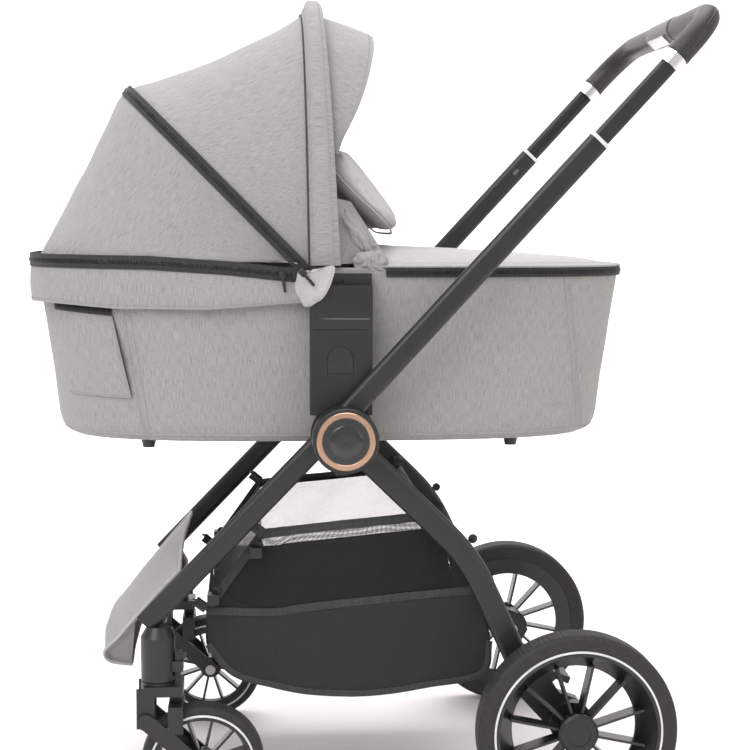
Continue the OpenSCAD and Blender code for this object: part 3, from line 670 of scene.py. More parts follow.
# ---------------------------------------------------------------- cloth surfaces
def hood_row(foot, crown, power, grow=0.0, count=121):
    """One arch of the hood: foot + (crown - foot) |cos t|^(2/power), half width sin t^(2/power)."""
    t = np.linspace(-np.pi / 2, np.pi / 2, count)
    up = np.abs(np.cos(t)) ** (2.0 / power)
    foot, crown = np.asarray(foot, float), np.asarray(crown, float)
    length = np.linalg.norm(crown - foot)
    reach = (length + grow) / length
    return np.stack([foot[0] + (crown[0] - foot[0]) * up * reach,
                     (HOOD_HALF + grow) * spow(np.sin(t), 2.0 / power),
                     foot[1] + (crown[1] - foot[1]) * up * reach], axis=1)


def band_row(a, lift, count=121):
    """Arch of the front band, a from 0 at its seam to 1 at its hem, padded 5 sin(pi a)^0.55 over lift."""
    swell = 5.0 * math.sin(math.pi * min(1.0, a * 1.02)) ** 0.55
    return hood_row([-45 + 41 * a, 760 + a], [-52 + 28 * a, 1110 + 18 * min(1, a * 3)], HOOD_ROUND,
                    lift + swell, count)


def hood_cloth(crowns, feet, rows, powers, grow):
    """Grid of arches whose crowns run along a curve and whose feet run between two points."""
    crowns = curve(crowns, rows)
    f = np.linspace(0.0, 1.0, rows)
    feet = np.asarray(feet[0], float) + (np.asarray(feet[1], float) - np.asarray(feet[0], float)) * f[:, None]
    return np.stack([hood_row(feet[k], crowns[k], powers[0] + (powers[1] - powers[0]) * f[k], grow)
                     for k in range(rows)])


def cot_ring(outset, z, count=256, start=0.0, stop=360.0):
    """Outline of the carrycot grown by outset: a superellipse of exponent 3.1, in millimetres."""
    a = np.radians(np.linspace(start, stop, count, endpoint=abs(stop - start) < 359.9))
    e = 2.0 / COT_ROUND
    return np.stack([COT_MID + (COT_LONG + outset) * spow(np.cos(a), e),
                     (COT_HALF + outset * (0.4 if outset < 0 else 1.0)) * spow(np.sin(a), e),
                     np.full_like(a, z)], axis=1)


def cot_inset(z):
    """How far the cot's side stands in from its rim at a height: 31 at the foot of the wall to 2."""
    return np.interp(z, [519, 523, 532, 545, 607, 747], [50, 40, 33, 29, 22, 2])


def on_cot(x, z, off=0.0, side=-1.0):
    """Point on the cot's side wall at x and z, off millimetres outside it."""
    inset = cot_inset(z)
    long = COT_LONG - inset + off
    half = COT_HALF - 0.4 * inset + off
    across = half * (1.0 - np.clip(np.abs(x - COT_MID) / long, 0, 0.999) ** COT_ROUND) ** (1.0 / COT_ROUND)
    return np.stack([x + 0 * z, side * across, z + 0 * x], axis=-1)


def rim_path(outset, z_of, x_from, count=200, head=True):
    """Path along the cot's outline round its head or foot end, from x on one side to x on the other."""
    ring = cot_ring(outset, 0.0, 2400)
    keep = ring[:, 0] < x_from if head else ring[:, 0] > x_from
    ring = ring[keep]
    angle = np.arctan2(ring[:, 1], -(ring[:, 0] - COT_MID) if head else (ring[:, 0] - COT_MID))
    ring = ring[np.argsort(angle)]
    path = resample(ring, count=count)
    path[:, 2] = z_of(path[:, 0])
    return path


def outline_normals(path):
    """Level normals of a path round the cot, pointing away from its middle."""
    tangent = unit(np.gradient(path, axis=0))
    side = np.stack([tangent[:, 1], -tangent[:, 0], np.zeros(len(path))], axis=1)
    away = path - np.array([COT_MID, 0, 0])
    sign = np.sign(np.sum(side[:, :2] * away[:, :2]))
    return unit(side * sign)


def puckers(points, along, distance, depth, pitch, reach, seed):
    """Seam gathers: depth exp(-d/reach) sin(2 pi s/pitch + noise), d from the seam and s along it."""
    wander = 2.5 * noise(points, 0.05, seed)
    return depth * np.exp(-np.abs(distance) / reach) * np.sin(2 * np.pi * along / pitch + wander)


# ---------------------------------------------------------------- pieces
def build_hood(looks):
    """Rear and front panels with the zip over the middle bow, the padded band and the visor."""
    inside = hub(HOOD_MIDDLE)
    rear = hood_cloth(REAR_CROWN, ([-64, 765], [-58, 759]), 72, (3.0, HOOD_ROUND), 1.5)
    f = np.linspace(0, 1, 72)[:, None]
    t = np.linspace(-1, 1, 121)[None, :]
    arc = arc_length(rear)
    n = facing(rear, HOOD_MIDDLE)
    sag = -2.4 * np.sin(np.pi * f) * (0.4 + np.abs(t))
    wave = 2.2 * noise(rear * [1, 1, 0.45], 62, 1) + 1.0 * noise(rear * [1.2, 1, 0.5], 24, 2)
    edge = puckers(rear, arc, f * 250, 1.0, 26, 30, 3) + puckers(rear, arc, (1 - f) * 250, 0.8, 19, 16, 4)
    fold = -3.5 * np.exp(-((np.abs(t) - 0.82) / 0.07) ** 2) * np.sin(np.pi * f) ** 0.5
    loose = looks.wrinkle * smooth(f * 5) * smooth((1 - f) * 5)
    rear = rear + n * (sag + (wave + fold) * loose + edge)[..., None]
    rear_obj = cloth_sheet("hood_rear_cloth", hub(rear), 0.0012, ("cloth_grey", "lining"), inside)
    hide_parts("hood_rear_panel")

    front = hood_cloth(FRONT_CROWN, ([-56, 759], [-46, 759]), 72, (HOOD_ROUND, HOOD_ROUND), 1.5)
    n = facing(front, HOOD_MIDDLE)
    arc = arc_length(front)
    sag = -3.0 * np.sin(np.pi * f) * (1.2 - np.abs(t))
    wave = 1.6 * noise(front * [1, 1, 0.4], 58, 5) + 0.8 * noise(front * [1.3, 1, 0.5], 21, 6)
    edge = puckers(front, arc, f * 250, 0.8, 21, 22, 7) + puckers(front, arc, (1 - f) * 250, 0.6, 15, 12, 8)
    front = front + n * (sag + wave * loose + edge)[..., None]
    front_obj = cloth_sheet("hood_front_cloth", hub(front), 0.0012, ("cloth_grey", "lining"), inside)
    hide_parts("hood_front_panel")
    tuple(hub([-424, 0, 790]))
    tuple(hub([-300, 0, 990]))
    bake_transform(rear_obj)
    tuple(hub([-280, 0, 1000]))
    tuple(hub([-62, 0, 1090]))
    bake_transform(front_obj)
    as_sheet(rear)
    as_sheet(front)

    # Zip over the middle bow.
    bow = hub(hood_row([-56, 759], [-298, 1002], HOOD_ROUND, 3.2, 260))
    up = unit(np.cross(np.gradient(bow, axis=0), np.array([-0.7, 0, -0.72])))
    up *= np.sign(np.sum(up * (bow - hub([-60, 0, 800]))))
    sew_zip("middle_zip", bow, up, 0.0175, "hood_middle")

    # Padded band: a rounded roll between the dark seam and the front hem.
    rows = 26
    g = np.linspace(0, 1, rows)
    band = np.stack([band_row(a, 1.0) for a in g])
    n = facing(band, HOOD_MIDDLE)
    arc = arc_length(band)
    ripple = looks.wrinkle * (0.7 * noise(band * [2.2, 1, 1], 34, 9) + 0.35 * noise(band * [2, 1, 1], 13, 10))
    ripple += puckers(band, arc, g[:, None] * 42, 0.5, 12, 7, 11)
    band = band + n * (ripple * np.sin(np.pi * g)[:, None] ** 0.5)[..., None]
    lip = band[-1:] + np.array([0.6, 0, -1.5])
    inner = np.stack([hood_row([-5 - 38 * a, 760], [-25 - 26 * a, 1125 - 15 * a], HOOD_ROUND, -3.5 - 1.0 * a)
                      for a in np.linspace(0, 1, 7)])
    band = np.concatenate([band, lip, inner])
    band_obj = cloth_sheet("hood_band_cloth", hub(band), 0.0011, ("cloth_grey", "lining"),
                           inside, "hood_front")
    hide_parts("hood_band")
    seam = hub(hood_row([-46, 760], [-52.5, 1110.5], HOOD_ROUND, 3.0, 260))
    seam_up = unit(np.cross(np.gradient(seam, axis=0), np.array([1.0, 0, 0])))
    seam_up *= np.sign(np.sum(seam_up * (seam - inside)))
    sew("hood_seam_welt", sweep(seam, circle(0.0011, 8), seam_up), "binding", "hood_front", "cloth_black")
    for shift, name in ((4.5, "hood_band_stitches"), (33, "hood_hem_stitches")):
        a = shift / 41
        line = hub(hood_row([-45 + shift, 760], [-52 + 28 * a, 1110 + 18 * min(1, a * 3)], HOOD_ROUND,
                            1.6 + 5.0 * math.sin(math.pi * min(1.0, a * 1.02)) ** 0.55, 260))
        sew(name, stitches(line, seam_up, STITCH), "thread", "hood_front", "cloth_grey")

    # Visor: a short stiffened peak, deepest over the middle.
    t = np.linspace(-1, 1, 121)
    reach = np.interp(np.abs(t), [0, 0.3, 0.45, 0.56, 0.65, 0.74, 0.8], [80, 74, 64, 52, 38, 17, 4])
    reach = np.convolve(np.pad(reach, 4, mode="edge"), np.ones(9) / 9, mode="valid")
    edge = hood_row([-8, 760], [-27, 1121], HOOD_ROUND, -9.0)
    visor = np.stack([edge + reach[:, None] * np.array([a, 0, -0.26 * a - 0.08 * a * a])
                      for a in np.linspace(-0.1, 1, 26)])
    visor = visor[:, 13:108]
    visor[..., 2] += looks.wrinkle * 0.9 * noise(visor, 30, 12)
    visor_obj = cloth_sheet("hood_visor_cloth", hub(visor), 0.0024, ("cloth_grey", "lining"),
                            inside, "hood_front")
    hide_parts("hood_visor")
    as_sheet(visor)
    sew("visor_stitches", stitches(hub(visor[-3]) + [0, 0, 0.0004], (0, 0, 1), STITCH),
        "thread", "hood_front", "cloth_grey")


def skirt_height(x):
    """Height of the lower zip's middle along the cot: 764 at the head to 748 by the bracket."""
    return np.interp(x, [-430, -394, -261, -150, -74, -40], [764, 764, 763, 756, 748, 745])


def build_skirt(looks):
    """Lower zip of the hood and the loose skirt below it, with its turned-out corners."""
    zip_line = rim_path(8.6, skirt_height, -58)
    up = outline_normals(zip_line)
    sew_zip("lower_zip", hub(zip_line), up, 0.0185, "carrycot")
    top = rim_path(7.4, skirt_height, -50, 300)
    out = outline_normals(top)
    low_z = np.interp(top[:, 0], [-430, -400, -305, -178, -80, -46], [707, 707, 701, 701, 709, 711])
    rows = []
    along = np.cumsum(np.linalg.norm(np.diff(top, axis=0, prepend=top[:1]), axis=1))
    for a in np.linspace(0, 1, 26):
        p = top.copy()
        p[:, 2] = (top[:, 2] - 7.0) * (1 - a) + low_z * a
        wave = 1.7 * np.sin(along / 47.0) + 1.2 * np.sin(along / 21.0 + 2)
        swell = 2.0 * math.sin(math.pi * a) + a * (1.5 + wave * looks.wrinkle)
        fold = 2.4 * np.exp(-((along - 0.78 * along[-1]) / 90) ** 2) * np.sin(a * 7 + along / 60)
        p = p + out * (swell + looks.wrinkle * (fold * a + 0.7 * noise(p, 17, 14)))[:, None]
        rows.append(p)
    skirt = np.stack(rows)
    obj = cloth_sheet("hood_skirt_cloth", hub(skirt), 0.0012, ("cloth_grey", "lining"),
                      hub([COT_MID, 0, 730]), "carrycot")
    as_sheet(skirt)
    sew("skirt_stitches", stitches(hub(skirt[-3] + out * 0.3), out, STITCH),
        "thread", "carrycot", "cloth_grey")
    for side in (-1, 1):
        build_corner(side, looks)


def build_corner(side, looks):
    """Turned-out end of the skirt: a leaf of cloth from the skirt's end to a point by the bracket."""
    m = MATERIALS
    left = curve([[-62, 214, 751], [-65, 217, 730], [-54, 218, 707]], 30)
    right = curve([[-42, 232, 754], [-15, 240, 761], [-17, 241, 742], [-29, 240, 719], [-47, 226, 705]], 30)
    f = np.linspace(0, 1, 30)[:, None, None]
    leaf = left[None] * (1 - f) + right[None] * f
    leaf[..., 1] += 4.5 * np.sin(np.pi * f[..., 0])
    leaf[..., 1] -= 2.5 * np.sin(2.6 * np.pi * f[..., 0] + leaf[..., 2] / 14)
    leaf[..., 1] += looks.wrinkle * (1.4 * noise(leaf, 14, 15) + 0.8 * noise(leaf, 6, 16))
    leaf[..., 1] = np.maximum(leaf[..., 1], np.where(leaf[..., 0] > -47, 234.5, 214))
    leaf[..., 1] *= side
    name = "left" if side < 0 else "right"
    obj = cloth_sheet(f"skirt_corner_{name}", hub(leaf), 0.0013, ("cloth_light", "lining"),
                      hub([-40, 0, 730]), "carrycot")
    as_sheet(leaf)
    sew(f"corner_stitches_{name}", stitches(hub(leaf[-3]) + [0, side * 0.0005, 0], (0, side, 0), FINE_STITCH),
        "thread", "carrycot", "cloth_grey")
    # Sliders and pulls of the two zips.
    for k, (x, z, turn, body) in enumerate(((-82, 748, -80, "carrycot"), (-56, 752, -48, "hood_middle"))):
        slider = block(0.009, 0.011, FINE_STITCH)
        pull = block(0.0042, 0.021, 0.0014)
        y = side * (219.0 + 19 * k)
        a = math.radians(turn)
        along = np.array([[math.cos(a), 0, math.sin(a)]])
        up = np.array([[0, side, 0.0]])
        across = np.cross(along, up)
        at = hub([[x, y - side * 2.5, z]])
        tag_at = at + up * 0.0035 + along * 0.013
        both = merge(place_all(*slider, at, along, up, across), place_all(*pull, tag_at, along, up, across))
        both = outward(both, at[0])
        make(f"zip_pull_{k + 1}_{name}", *both, m["zip_coil"], body, slot="plastic_black")


def build_cot(looks):
    """Padded cloth body of the carrycot with its seams, pocket, foot zip and mattress."""
    m = MATERIALS
    heights = np.concatenate([[519, 520.5, 523.5, 528, 534, 541], np.linspace(549, 745, 34), [748, 750]])
    rows = [cot_ring(-float(cot_inset(z)), z, 320) for z in heights]
    outer = np.stack(rows)
    n = facing(outer, [COT_MID, 0, 640], wrap=True)
    high = ((outer[..., 2] - 519) / 231)[..., None]
    wave = 0.9 * noise(outer * [1, 1, 0.6], 85, 20) + 0.35 * noise(outer, 26, 21)
    top_gather = puckers(outer, outer[..., 0] + outer[..., 1], 750 - outer[..., 2], 0.5, 23, 12, 22)
    low_gather = puckers(outer, outer[..., 0] + outer[..., 1], outer[..., 2] - 532, 0.6, 27, 9, 23)
    outer = outer + n * ((wave * looks.wrinkle)[..., None] * np.sin(np.pi * np.clip(high, 0, 1)) ** 0.5
                         + (top_gather + low_gather)[..., None])
    for x in (311, -300):
        groove = np.exp(-(((outer[..., 0] - x - (757 - outer[..., 2]) * 0.15) / 2.4) ** 2))
        outer = outer - n * (1.5 * groove * (np.abs(outer[..., 1]) > 60))[..., None]
    inner_z = [750, 745, 700, 650, 607, 560, 545, 538]
    inner = [cot_ring(-(float(cot_inset(z)) + 12), z, 320) for z in inner_z]
    floor = [cot_ring(-100, 533.5, 320), cot_ring(-300, 533.5, 320), cot_ring(-420, 533.5, 320)]
    base = [cot_ring(-420, 519.2, 320), cot_ring(-300, 519, 320), cot_ring(-80, 519, 320)]
    full = np.concatenate([np.stack(base), outer, np.stack(inner), np.stack(floor)])
    count = len(full)
    slots = np.concatenate([np.zeros((len(base) + len(outer)) * 320),
                            np.ones((count - 1 - len(base) - len(outer)) * 320), [0, 1]])
    shape = outward((hub(full).reshape(-1, 3), tube_faces(count, 320)), hub([COT_MID, 0, 530]))
    ring = np.concatenate([[0], np.cumsum(np.linalg.norm(np.diff(full[10], axis=0), axis=1))]) / 1000
    down = np.concatenate([[0], np.cumsum(np.linalg.norm(np.diff(full[:, 0], axis=0), axis=1))]) / 1000
    place = np.stack(np.meshgrid(ring, down), axis=-1).reshape(-1, 2)
    shell = make("cot_body_cloth", *shape, [m["cloth_grey"], m["lining"]], "carrycot", place, slots,
                 slot="cloth_grey")
    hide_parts("cot_shell")

    for side, name in ((-1, "left"), (1, "right")):
        for k, x0 in enumerate((311, -300)):
            z = np.linspace(746, 536, 60)
            x = x0 + (757 - z) * 0.15
            for j, shift in enumerate((-4.5, 4.5)):
                line = on_cot(x + shift, z, 0.6, side)
                sew(f"cot_seam_{k + 1}_{j + 1}_{name}", stitches(hub(line), (0, side, 0), FINE_STITCH),
                    "thread", "carrycot", "cloth_grey")
    sew("cot_bottom_welt", sweep(hub(cot_ring(-36.5, 528, 400)), circle(0.0016, 8), (0, 0, 1), closed=True),
        "cloth_grey", "carrycot", "cloth_grey")
    build_pocket(looks)

    # Zip round the foot end, under the apron.
    zip_line = rim_path(1.2, lambda x: np.full_like(x, 751.5), 58, head=False)
    sew_zip("apron_zip", hub(zip_line), outline_normals(zip_line), 0.0135, "carrycot")

    # Mattress: a padded superellipse with a welt and shallow quilting.
    layers = []
    for a in np.linspace(0, np.pi, 15):
        layers.append(cot_ring(-(66 - 6 * math.sin(a)), 552.5 - 18.5 * math.cos(a), 256))
    flat_top = [cot_ring(-66 - r, 571 + 2.5 * (1 - (1 - r / 355) ** 2), 256)
                for r in (8, 30, 80, 150, 240, 340, 354)]
    flat_low = [cot_ring(-66 - r, 534, 256) for r in (354, 200, 60, 10)]
    pad = np.concatenate([np.stack(flat_low), np.stack(layers), np.stack(flat_top)])
    quilt = 1.6 * np.abs(np.sin(pad[..., 0] / 38.0) * np.sin(pad[..., 1] / 38.0)) ** 0.5
    pad[..., 2] += quilt * (pad[..., 2] > 569)
    shape = outward((hub(pad).reshape(-1, 3), tube_faces(len(pad), 256)), hub([COT_MID, 0, 552]))
    mattress = sew("mattress_cloth", shape, "lining", "carrycot", "lining")
    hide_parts("mattress")


def build_pocket(looks):
    """Zipped pocket at the head end of the left side: a slack patch, its zip and its open edge."""
    cols, rows = 40, 44
    top = np.stack([np.linspace(-392, -311, cols), np.linspace(697, 691, cols)], axis=1)
    low = np.stack([np.linspace(-374, -286, cols), np.linspace(580, 578, cols)], axis=1)
    f = np.linspace(0, 1, rows)[:, None, None]
    xz = top[None] * (1 - f) + low[None] * f
    s = np.linspace(0, 1, cols)[None, :]
    slack = 2.2 + 2.5 * np.sin(np.pi * f[..., 0]) * smooth(s * 2) + 2.2 * smooth((s - 0.75) * 4) * np.sin(
        np.pi * f[..., 0])
    patch = on_cot(xz[..., 0], xz[..., 1], 0.0)
    patch[..., 1] -= slack + looks.wrinkle * 0.7 * noise(patch, 24, 25)
    obj = cloth_sheet("pocket_cloth", hub(patch), 0.0014, ("cloth_grey", "lining"),
                      hub([-340, 0, 640]), "carrycot")
    as_sheet(patch)
    line = hub(np.stack([patch[0, :, 0], patch[0, :, 1] - 1.0, patch[0, :, 2] + 5.5], axis=1))
    sew_zip("pocket_zip", line, (0, -1, 0), 0.0125, "carrycot")
    edge = hub(patch[:, -1] + [1.2, 0.6, 0])
    sew("pocket_edge", sweep(edge, circle(0.0011, 8), (0, -1, 0), scale=np.sin(np.linspace(0.35, 2.9, rows))),
        "binding", "carrycot", "cloth_black")
    for k, line in enumerate((patch[-1] + [0, -0.4, 2.5], patch[2:, -1] + [-3.2, -0.6, 0])):
        sew(f"pocket_stitches_{k + 1}", stitches(hub(line), (0, -1, 0), FINE_STITCH),
            "thread", "carrycot", "cloth_grey")


def build_apron(looks):
    """Cover of the foot half: a slack dome, its seam, the gusset under the flap and crumpled corners."""
    m = MATERIALS
    rows, cols = 84, 97
    a = np.linspace(0, 1, rows)[:, None]
    s = np.linspace(-1, 1, cols)[None, :]
    x = 34 + (COT_MID + COT_LONG + 1.5 - 34) * np.sin(a * np.pi / 2) ** 0.9
    reach = np.clip((x - COT_MID) / (COT_LONG + 1.6), 0, 0.9999)
    half = (COT_HALF + 1.5) * (1 - reach**COT_ROUND) ** (1 / COT_ROUND)
    y = half * np.sin(s * np.pi / 2) * np.ones_like(x)
    xx = x * np.ones_like(s)
    e = np.abs((xx - COT_MID) / (COT_LONG + 1.6)) ** COT_ROUND + np.abs(y / (COT_HALF + 1.6)) ** COT_ROUND
    e = e ** (1 / COT_ROUND)
    lift = 22.5 - 8.5 * smooth((xx - 130) / 220) + 3.0 * np.exp(-(((xx - 70) / 40) ** 2))
    z = 758.5 + lift * (1 - np.clip(e, 0, 1) ** 6.5)
    top = np.stack([xx, y, z], axis=-1)
    drape = 1.6 * noise(top * [1, 0.7, 1], 70, 30) + 0.7 * noise(top * [1.4, 1, 1], 24, 31)
    rays = 1.1 * np.sin((xx + np.abs(y) * 0.6) / 14.0 + 2 * noise(top, 60, 32))
    rays = rays * np.exp(-((xx - 40) / 55) ** 2)
    top[..., 2] += looks.wrinkle * (drape * smooth((1 - e) * 7) + rays * smooth((1 - e) * 10))
    obj = cloth_sheet("apron_cloth", hub(top), 0.0014, ("cloth_light", "lining"),
                      hub([200, 0, 700]), "carrycot")
    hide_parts("apron")
    as_sheet(top)
    rim = rim_path(1.6, lambda v: np.full_like(v, 758.8), 40, head=False)
    sew("apron_welt", sweep(hub(rim), circle(0.0013, 8), (0, 0, 1)), "cloth_grey", "carrycot", "cloth_grey")
    line = rim_path(-5.0, lambda v: np.full_like(v, 763.9), 44, head=False)
    sew("apron_stitches", stitches(hub(line), (0, 0, 1), STITCH), "thread", "carrycot", "cloth_grey")

    # Gusset: slack cloth from the cot's rim up to the flap's hinge line.
    profile = curve([[62, 768], [44, 777], [24, 796], [12, 815], [4, 838]], 40)
    across = np.linspace(-1, 1, 91)
    gusset = np.stack([np.stack([profile[:, 0] + 5 * (1 - abs(v) ** 3), np.full(40, 178.0 * v),
                                 profile[:, 1] - 2 * (1 - v * v)], axis=1) for v in across], axis=1)
    bunch = smooth((np.abs(gusset[..., 1]) - 120) / 60)
    crumple = (3.0 * noise(gusset * [1, 1, 1.3], 26, 34) + 1.8 * noise(gusset, 12, 35)) * (0.5 + bunch)
    gusset[..., 0] += looks.wrinkle * crumple
    gusset[..., 2] += looks.wrinkle * 0.5 * crumple
    obj = cloth_sheet("gusset_cloth", hub(gusset), 0.0013, ("cloth_grey", "lining"),
                      hub([30, 0, 770]), "carrycot")
    as_sheet(gusset)
    for side, name in ((-1, "left"), (1, "right")):
        left = curve([[-7, 183, 850], [-6, 190, 806], [-3, 194, 762]], 40)
        right = curve([[12, 176, 846], [34, 176, 812], [64, 186, 764]], 40)
        g = np.linspace(0, 1, 34)[None, :, None]
        cheek = left[:, None] * (1 - g) + right[:, None] * g
        fold = 3.0 * np.sin(cheek[..., 0] / 9 + cheek[..., 2] / 13 + 2 * noise(cheek, 40, 48))
        cheek[..., 1] += looks.wrinkle * (fold + 2.0 * noise(cheek, 17, 49))
        cheek[..., 1] *= side
        obj = cloth_sheet(f"gusset_cheek_{name}", hub(cheek), 0.0013, ("cloth_grey", "cloth_grey"),
                          hub([30, 0, 790]), "carrycot")
        as_sheet(cheek)
        for part, lump in (("corner", bunched_cloth(side, looks, (40, 196, 764), (23, 10, 17), 0, 40)),
                           ("roll", bunched_cloth(side, looks, (24, 180, 799), (38, 13, 12), -52, 44))):
            make(f"apron_{part}_{name}", *lump, m["cloth_grey"], "carrycot",
                 np.asarray(lump[0])[:, [0, 2]], slot="cloth_grey")


def bunched_cloth(side, looks, at, size, turn, seed):
    """Gathered cloth: an ellipsoid of half sizes x, y, z whose radius swings with folds and noise,
    turned by an angle about Y. r = 1 + a sin(6 phi + noise) sin(theta) + noise."""
    rows, cols = 64, 96
    th = np.linspace(0.001, np.pi - 0.001, rows)[:, None]
    ph = np.linspace(0, 2 * np.pi, cols, endpoint=False)[None, :]
    d = np.stack([np.sin(th) * np.cos(ph), np.cos(th) * np.ones_like(ph), np.sin(th) * np.sin(ph)], axis=-1)
    folds = 1 + 0.1 * looks.wrinkle * np.sin(6 * ph + 4 * noise(d, 0.8, seed)) * np.sin(th)
    folds = folds + looks.wrinkle * (0.2 * noise(d, 0.5, seed + 1) + 0.1 * noise(d, 0.22, seed + 2))
    p = d * folds[..., None] * np.asarray(size, float)
    c, n = math.cos(math.radians(turn)), math.sin(math.radians(turn))
    p = np.stack([p[..., 0] * c - p[..., 2] * n, p[..., 1], p[..., 0] * n + p[..., 2] * c], axis=-1)
    p = p + np.asarray(at, float)
    p[..., 1] *= side
    return outward((hub(p).reshape(-1, 3), tube_faces(rows, cols)), hub([at[0], at[1] * side, at[2]]))


def inflate(obj, pressure, cap):
    """Swells a closed cloth shape with the cloth solver, then holds each vertex within cap metres."""
    start = np.empty(len(obj.data.vertices) * 3)
    obj.data.vertices.foreach_get("co", start)
    cloth = obj.modifiers.new("Swell", "CLOTH")
    cloth.settings.use_pressure = True
    cloth.settings.uniform_pressure_force = pressure
    cloth.settings.effector_weights.gravity = 0.0
    cloth.settings.tension_stiffness = 18
    cloth.settings.compression_stiffness = 14
    cloth.settings.bending_stiffness = 1.5
    cloth.settings.quality = 6
    scene = bpy.context.scene
    cloth.point_cache.frame_start, cloth.point_cache.frame_end = 1, 20
    for step in range(1, 21):
        scene.frame_set(step)
    graph = bpy.context.evaluated_depsgraph_get()
    done = np.empty(len(start))
    obj.evaluated_get(graph).data.vertices.foreach_get("co", done)
    obj.modifiers.remove(cloth)
    scene.frame_set(1)
    start, done = start.reshape(-1, 3), done.reshape(-1, 3)
    move = done - start
    size = np.linalg.norm(move, axis=1, keepdims=True)
    move *= np.minimum(1.0, cap / np.maximum(size, 1e-9))
    obj.data.vertices.foreach_set("co", (start + move).ravel())
    obj.data.update()


def build_flap():
    """Padded wind flap: two cloths sewn on a welt round the edge, swollen by its filling."""
    m = MATERIALS
    rows, cols = 34, 76
    lean = math.radians(128)
    along = np.array([math.cos(lean), 0, math.sin(lean)])
    face = np.array([math.sin(lean), 0, -math.cos(lean)])
    s = (1 - np.cos(np.linspace(0, np.pi, rows)))[:, None] / 2
    t = np.sin(np.linspace(-np.pi / 2, np.pi / 2, cols))[None, :]
    half = 178.0 - 13 * (2 * np.abs(s - 0.5)) ** 6
    y = half * t
    length = 7 + 143 * (0.5 + (s - 0.5) * (1 - np.abs(t) ** 7 * 0.1))
    puff = ((1 - np.abs(t) ** 16) * (1 - np.abs(2 * s - 1) ** 8)) ** 0.42
    swell = 0.8
    middle = (along * length[..., None] + np.array([82, 0, 802])
              + np.array([0, 1, 0]) * (y * np.ones_like(s))[..., None])
    deep = 13.0 + 20.0 * smooth(s * 1.25)
    front = middle + face * ((1.0 + 8.0 * swell * puff)[..., None])
    back = middle - face * ((1.0 + deep * swell * puff)[..., None])
    count = rows * cols
    edge = grid_edge(rows, cols)
    after = np.roll(edge, -1)
    faces = np.vstack([grid_quads(rows, cols), grid_quads(rows, cols)[:, ::-1] + count,
                       np.stack([after, edge, edge + count, after + count], axis=1)]).tolist()
    verts = hub(np.concatenate([front.reshape(-1, 3), back.reshape(-1, 3)]))
    shape = outward((verts, faces), verts.mean(axis=0))
    place = flat_place(hub(middle))
    obj = make("wind_flap_cloth", *shape, [m["cloth_light"]], "flap", np.vstack([place, place]), crease=80,
               slot="cloth_grey")
    inflate(obj, 3.0, 0.006)
    soft = obj.modifiers.new("Round", "SUBSURF")
    soft.levels = soft.render_levels = 1
    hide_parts("wind_flap")
    rim = (middle - face * (0.62 * deep[..., None])).reshape(-1, 3)[edge]
    rim = resample(np.vstack([rim, rim[:1]]), count=300)[:-1]
    centre = rim.mean(axis=0)
    rim = centre + (rim - centre) * 1.012
    sew("flap_welt", sweep(hub(rim), circle(0.0014, 8), tuple(-face), closed=True),
        "cloth_grey", "flap", "cloth_grey")
    sew("flap_stitches", stitches(hub(rim + face * 3.4), (0, -1, 0), STITCH), "thread", "flap", "cloth_grey")


def side_wall(low, high, side, rows, cols, bulge, seed, looks):
    """Patch of the basket's side between two [x, z] curves, bulged outwards and creased, and held
    inside y = 201 by the soft limit 201 - 2 ln(1 + exp((201 - y) / 2))."""
    low, high = curve(low, cols), curve(high, cols)
    f = np.linspace(0, 1, rows)[:, None, None]
    xz = low[None] * (1 - f) + high[None] * f
    swell = bulge * np.sin(np.pi * f[..., 0]) * np.sin(np.pi * np.linspace(0, 1, cols)[None, :]) ** 0.6
    wall = np.stack([xz[..., 0], np.full(xz.shape[:2], BASKET_HALF) + swell, xz[..., 1]], axis=-1)
    sag = np.sin((wall[..., 0] * 0.8 - wall[..., 2]) / 15 + 2.5 * noise(wall, 90, seed + 2))
    sag = sag * np.sin(np.pi * f[..., 0]) * (0.5 + noise(wall, 70, seed + 3))
    creases = 2.2 * noise(wall, 46, seed) + 0.8 * noise(wall, 19, seed + 1)
    wall[..., 1] += looks.wrinkle * (bulge * 0.9 * sag + creases)
    wall[..., 1] = (201.0 - 2 * np.log1p(np.exp((201.0 - wall[..., 1]) / 2))) * side
    return wall


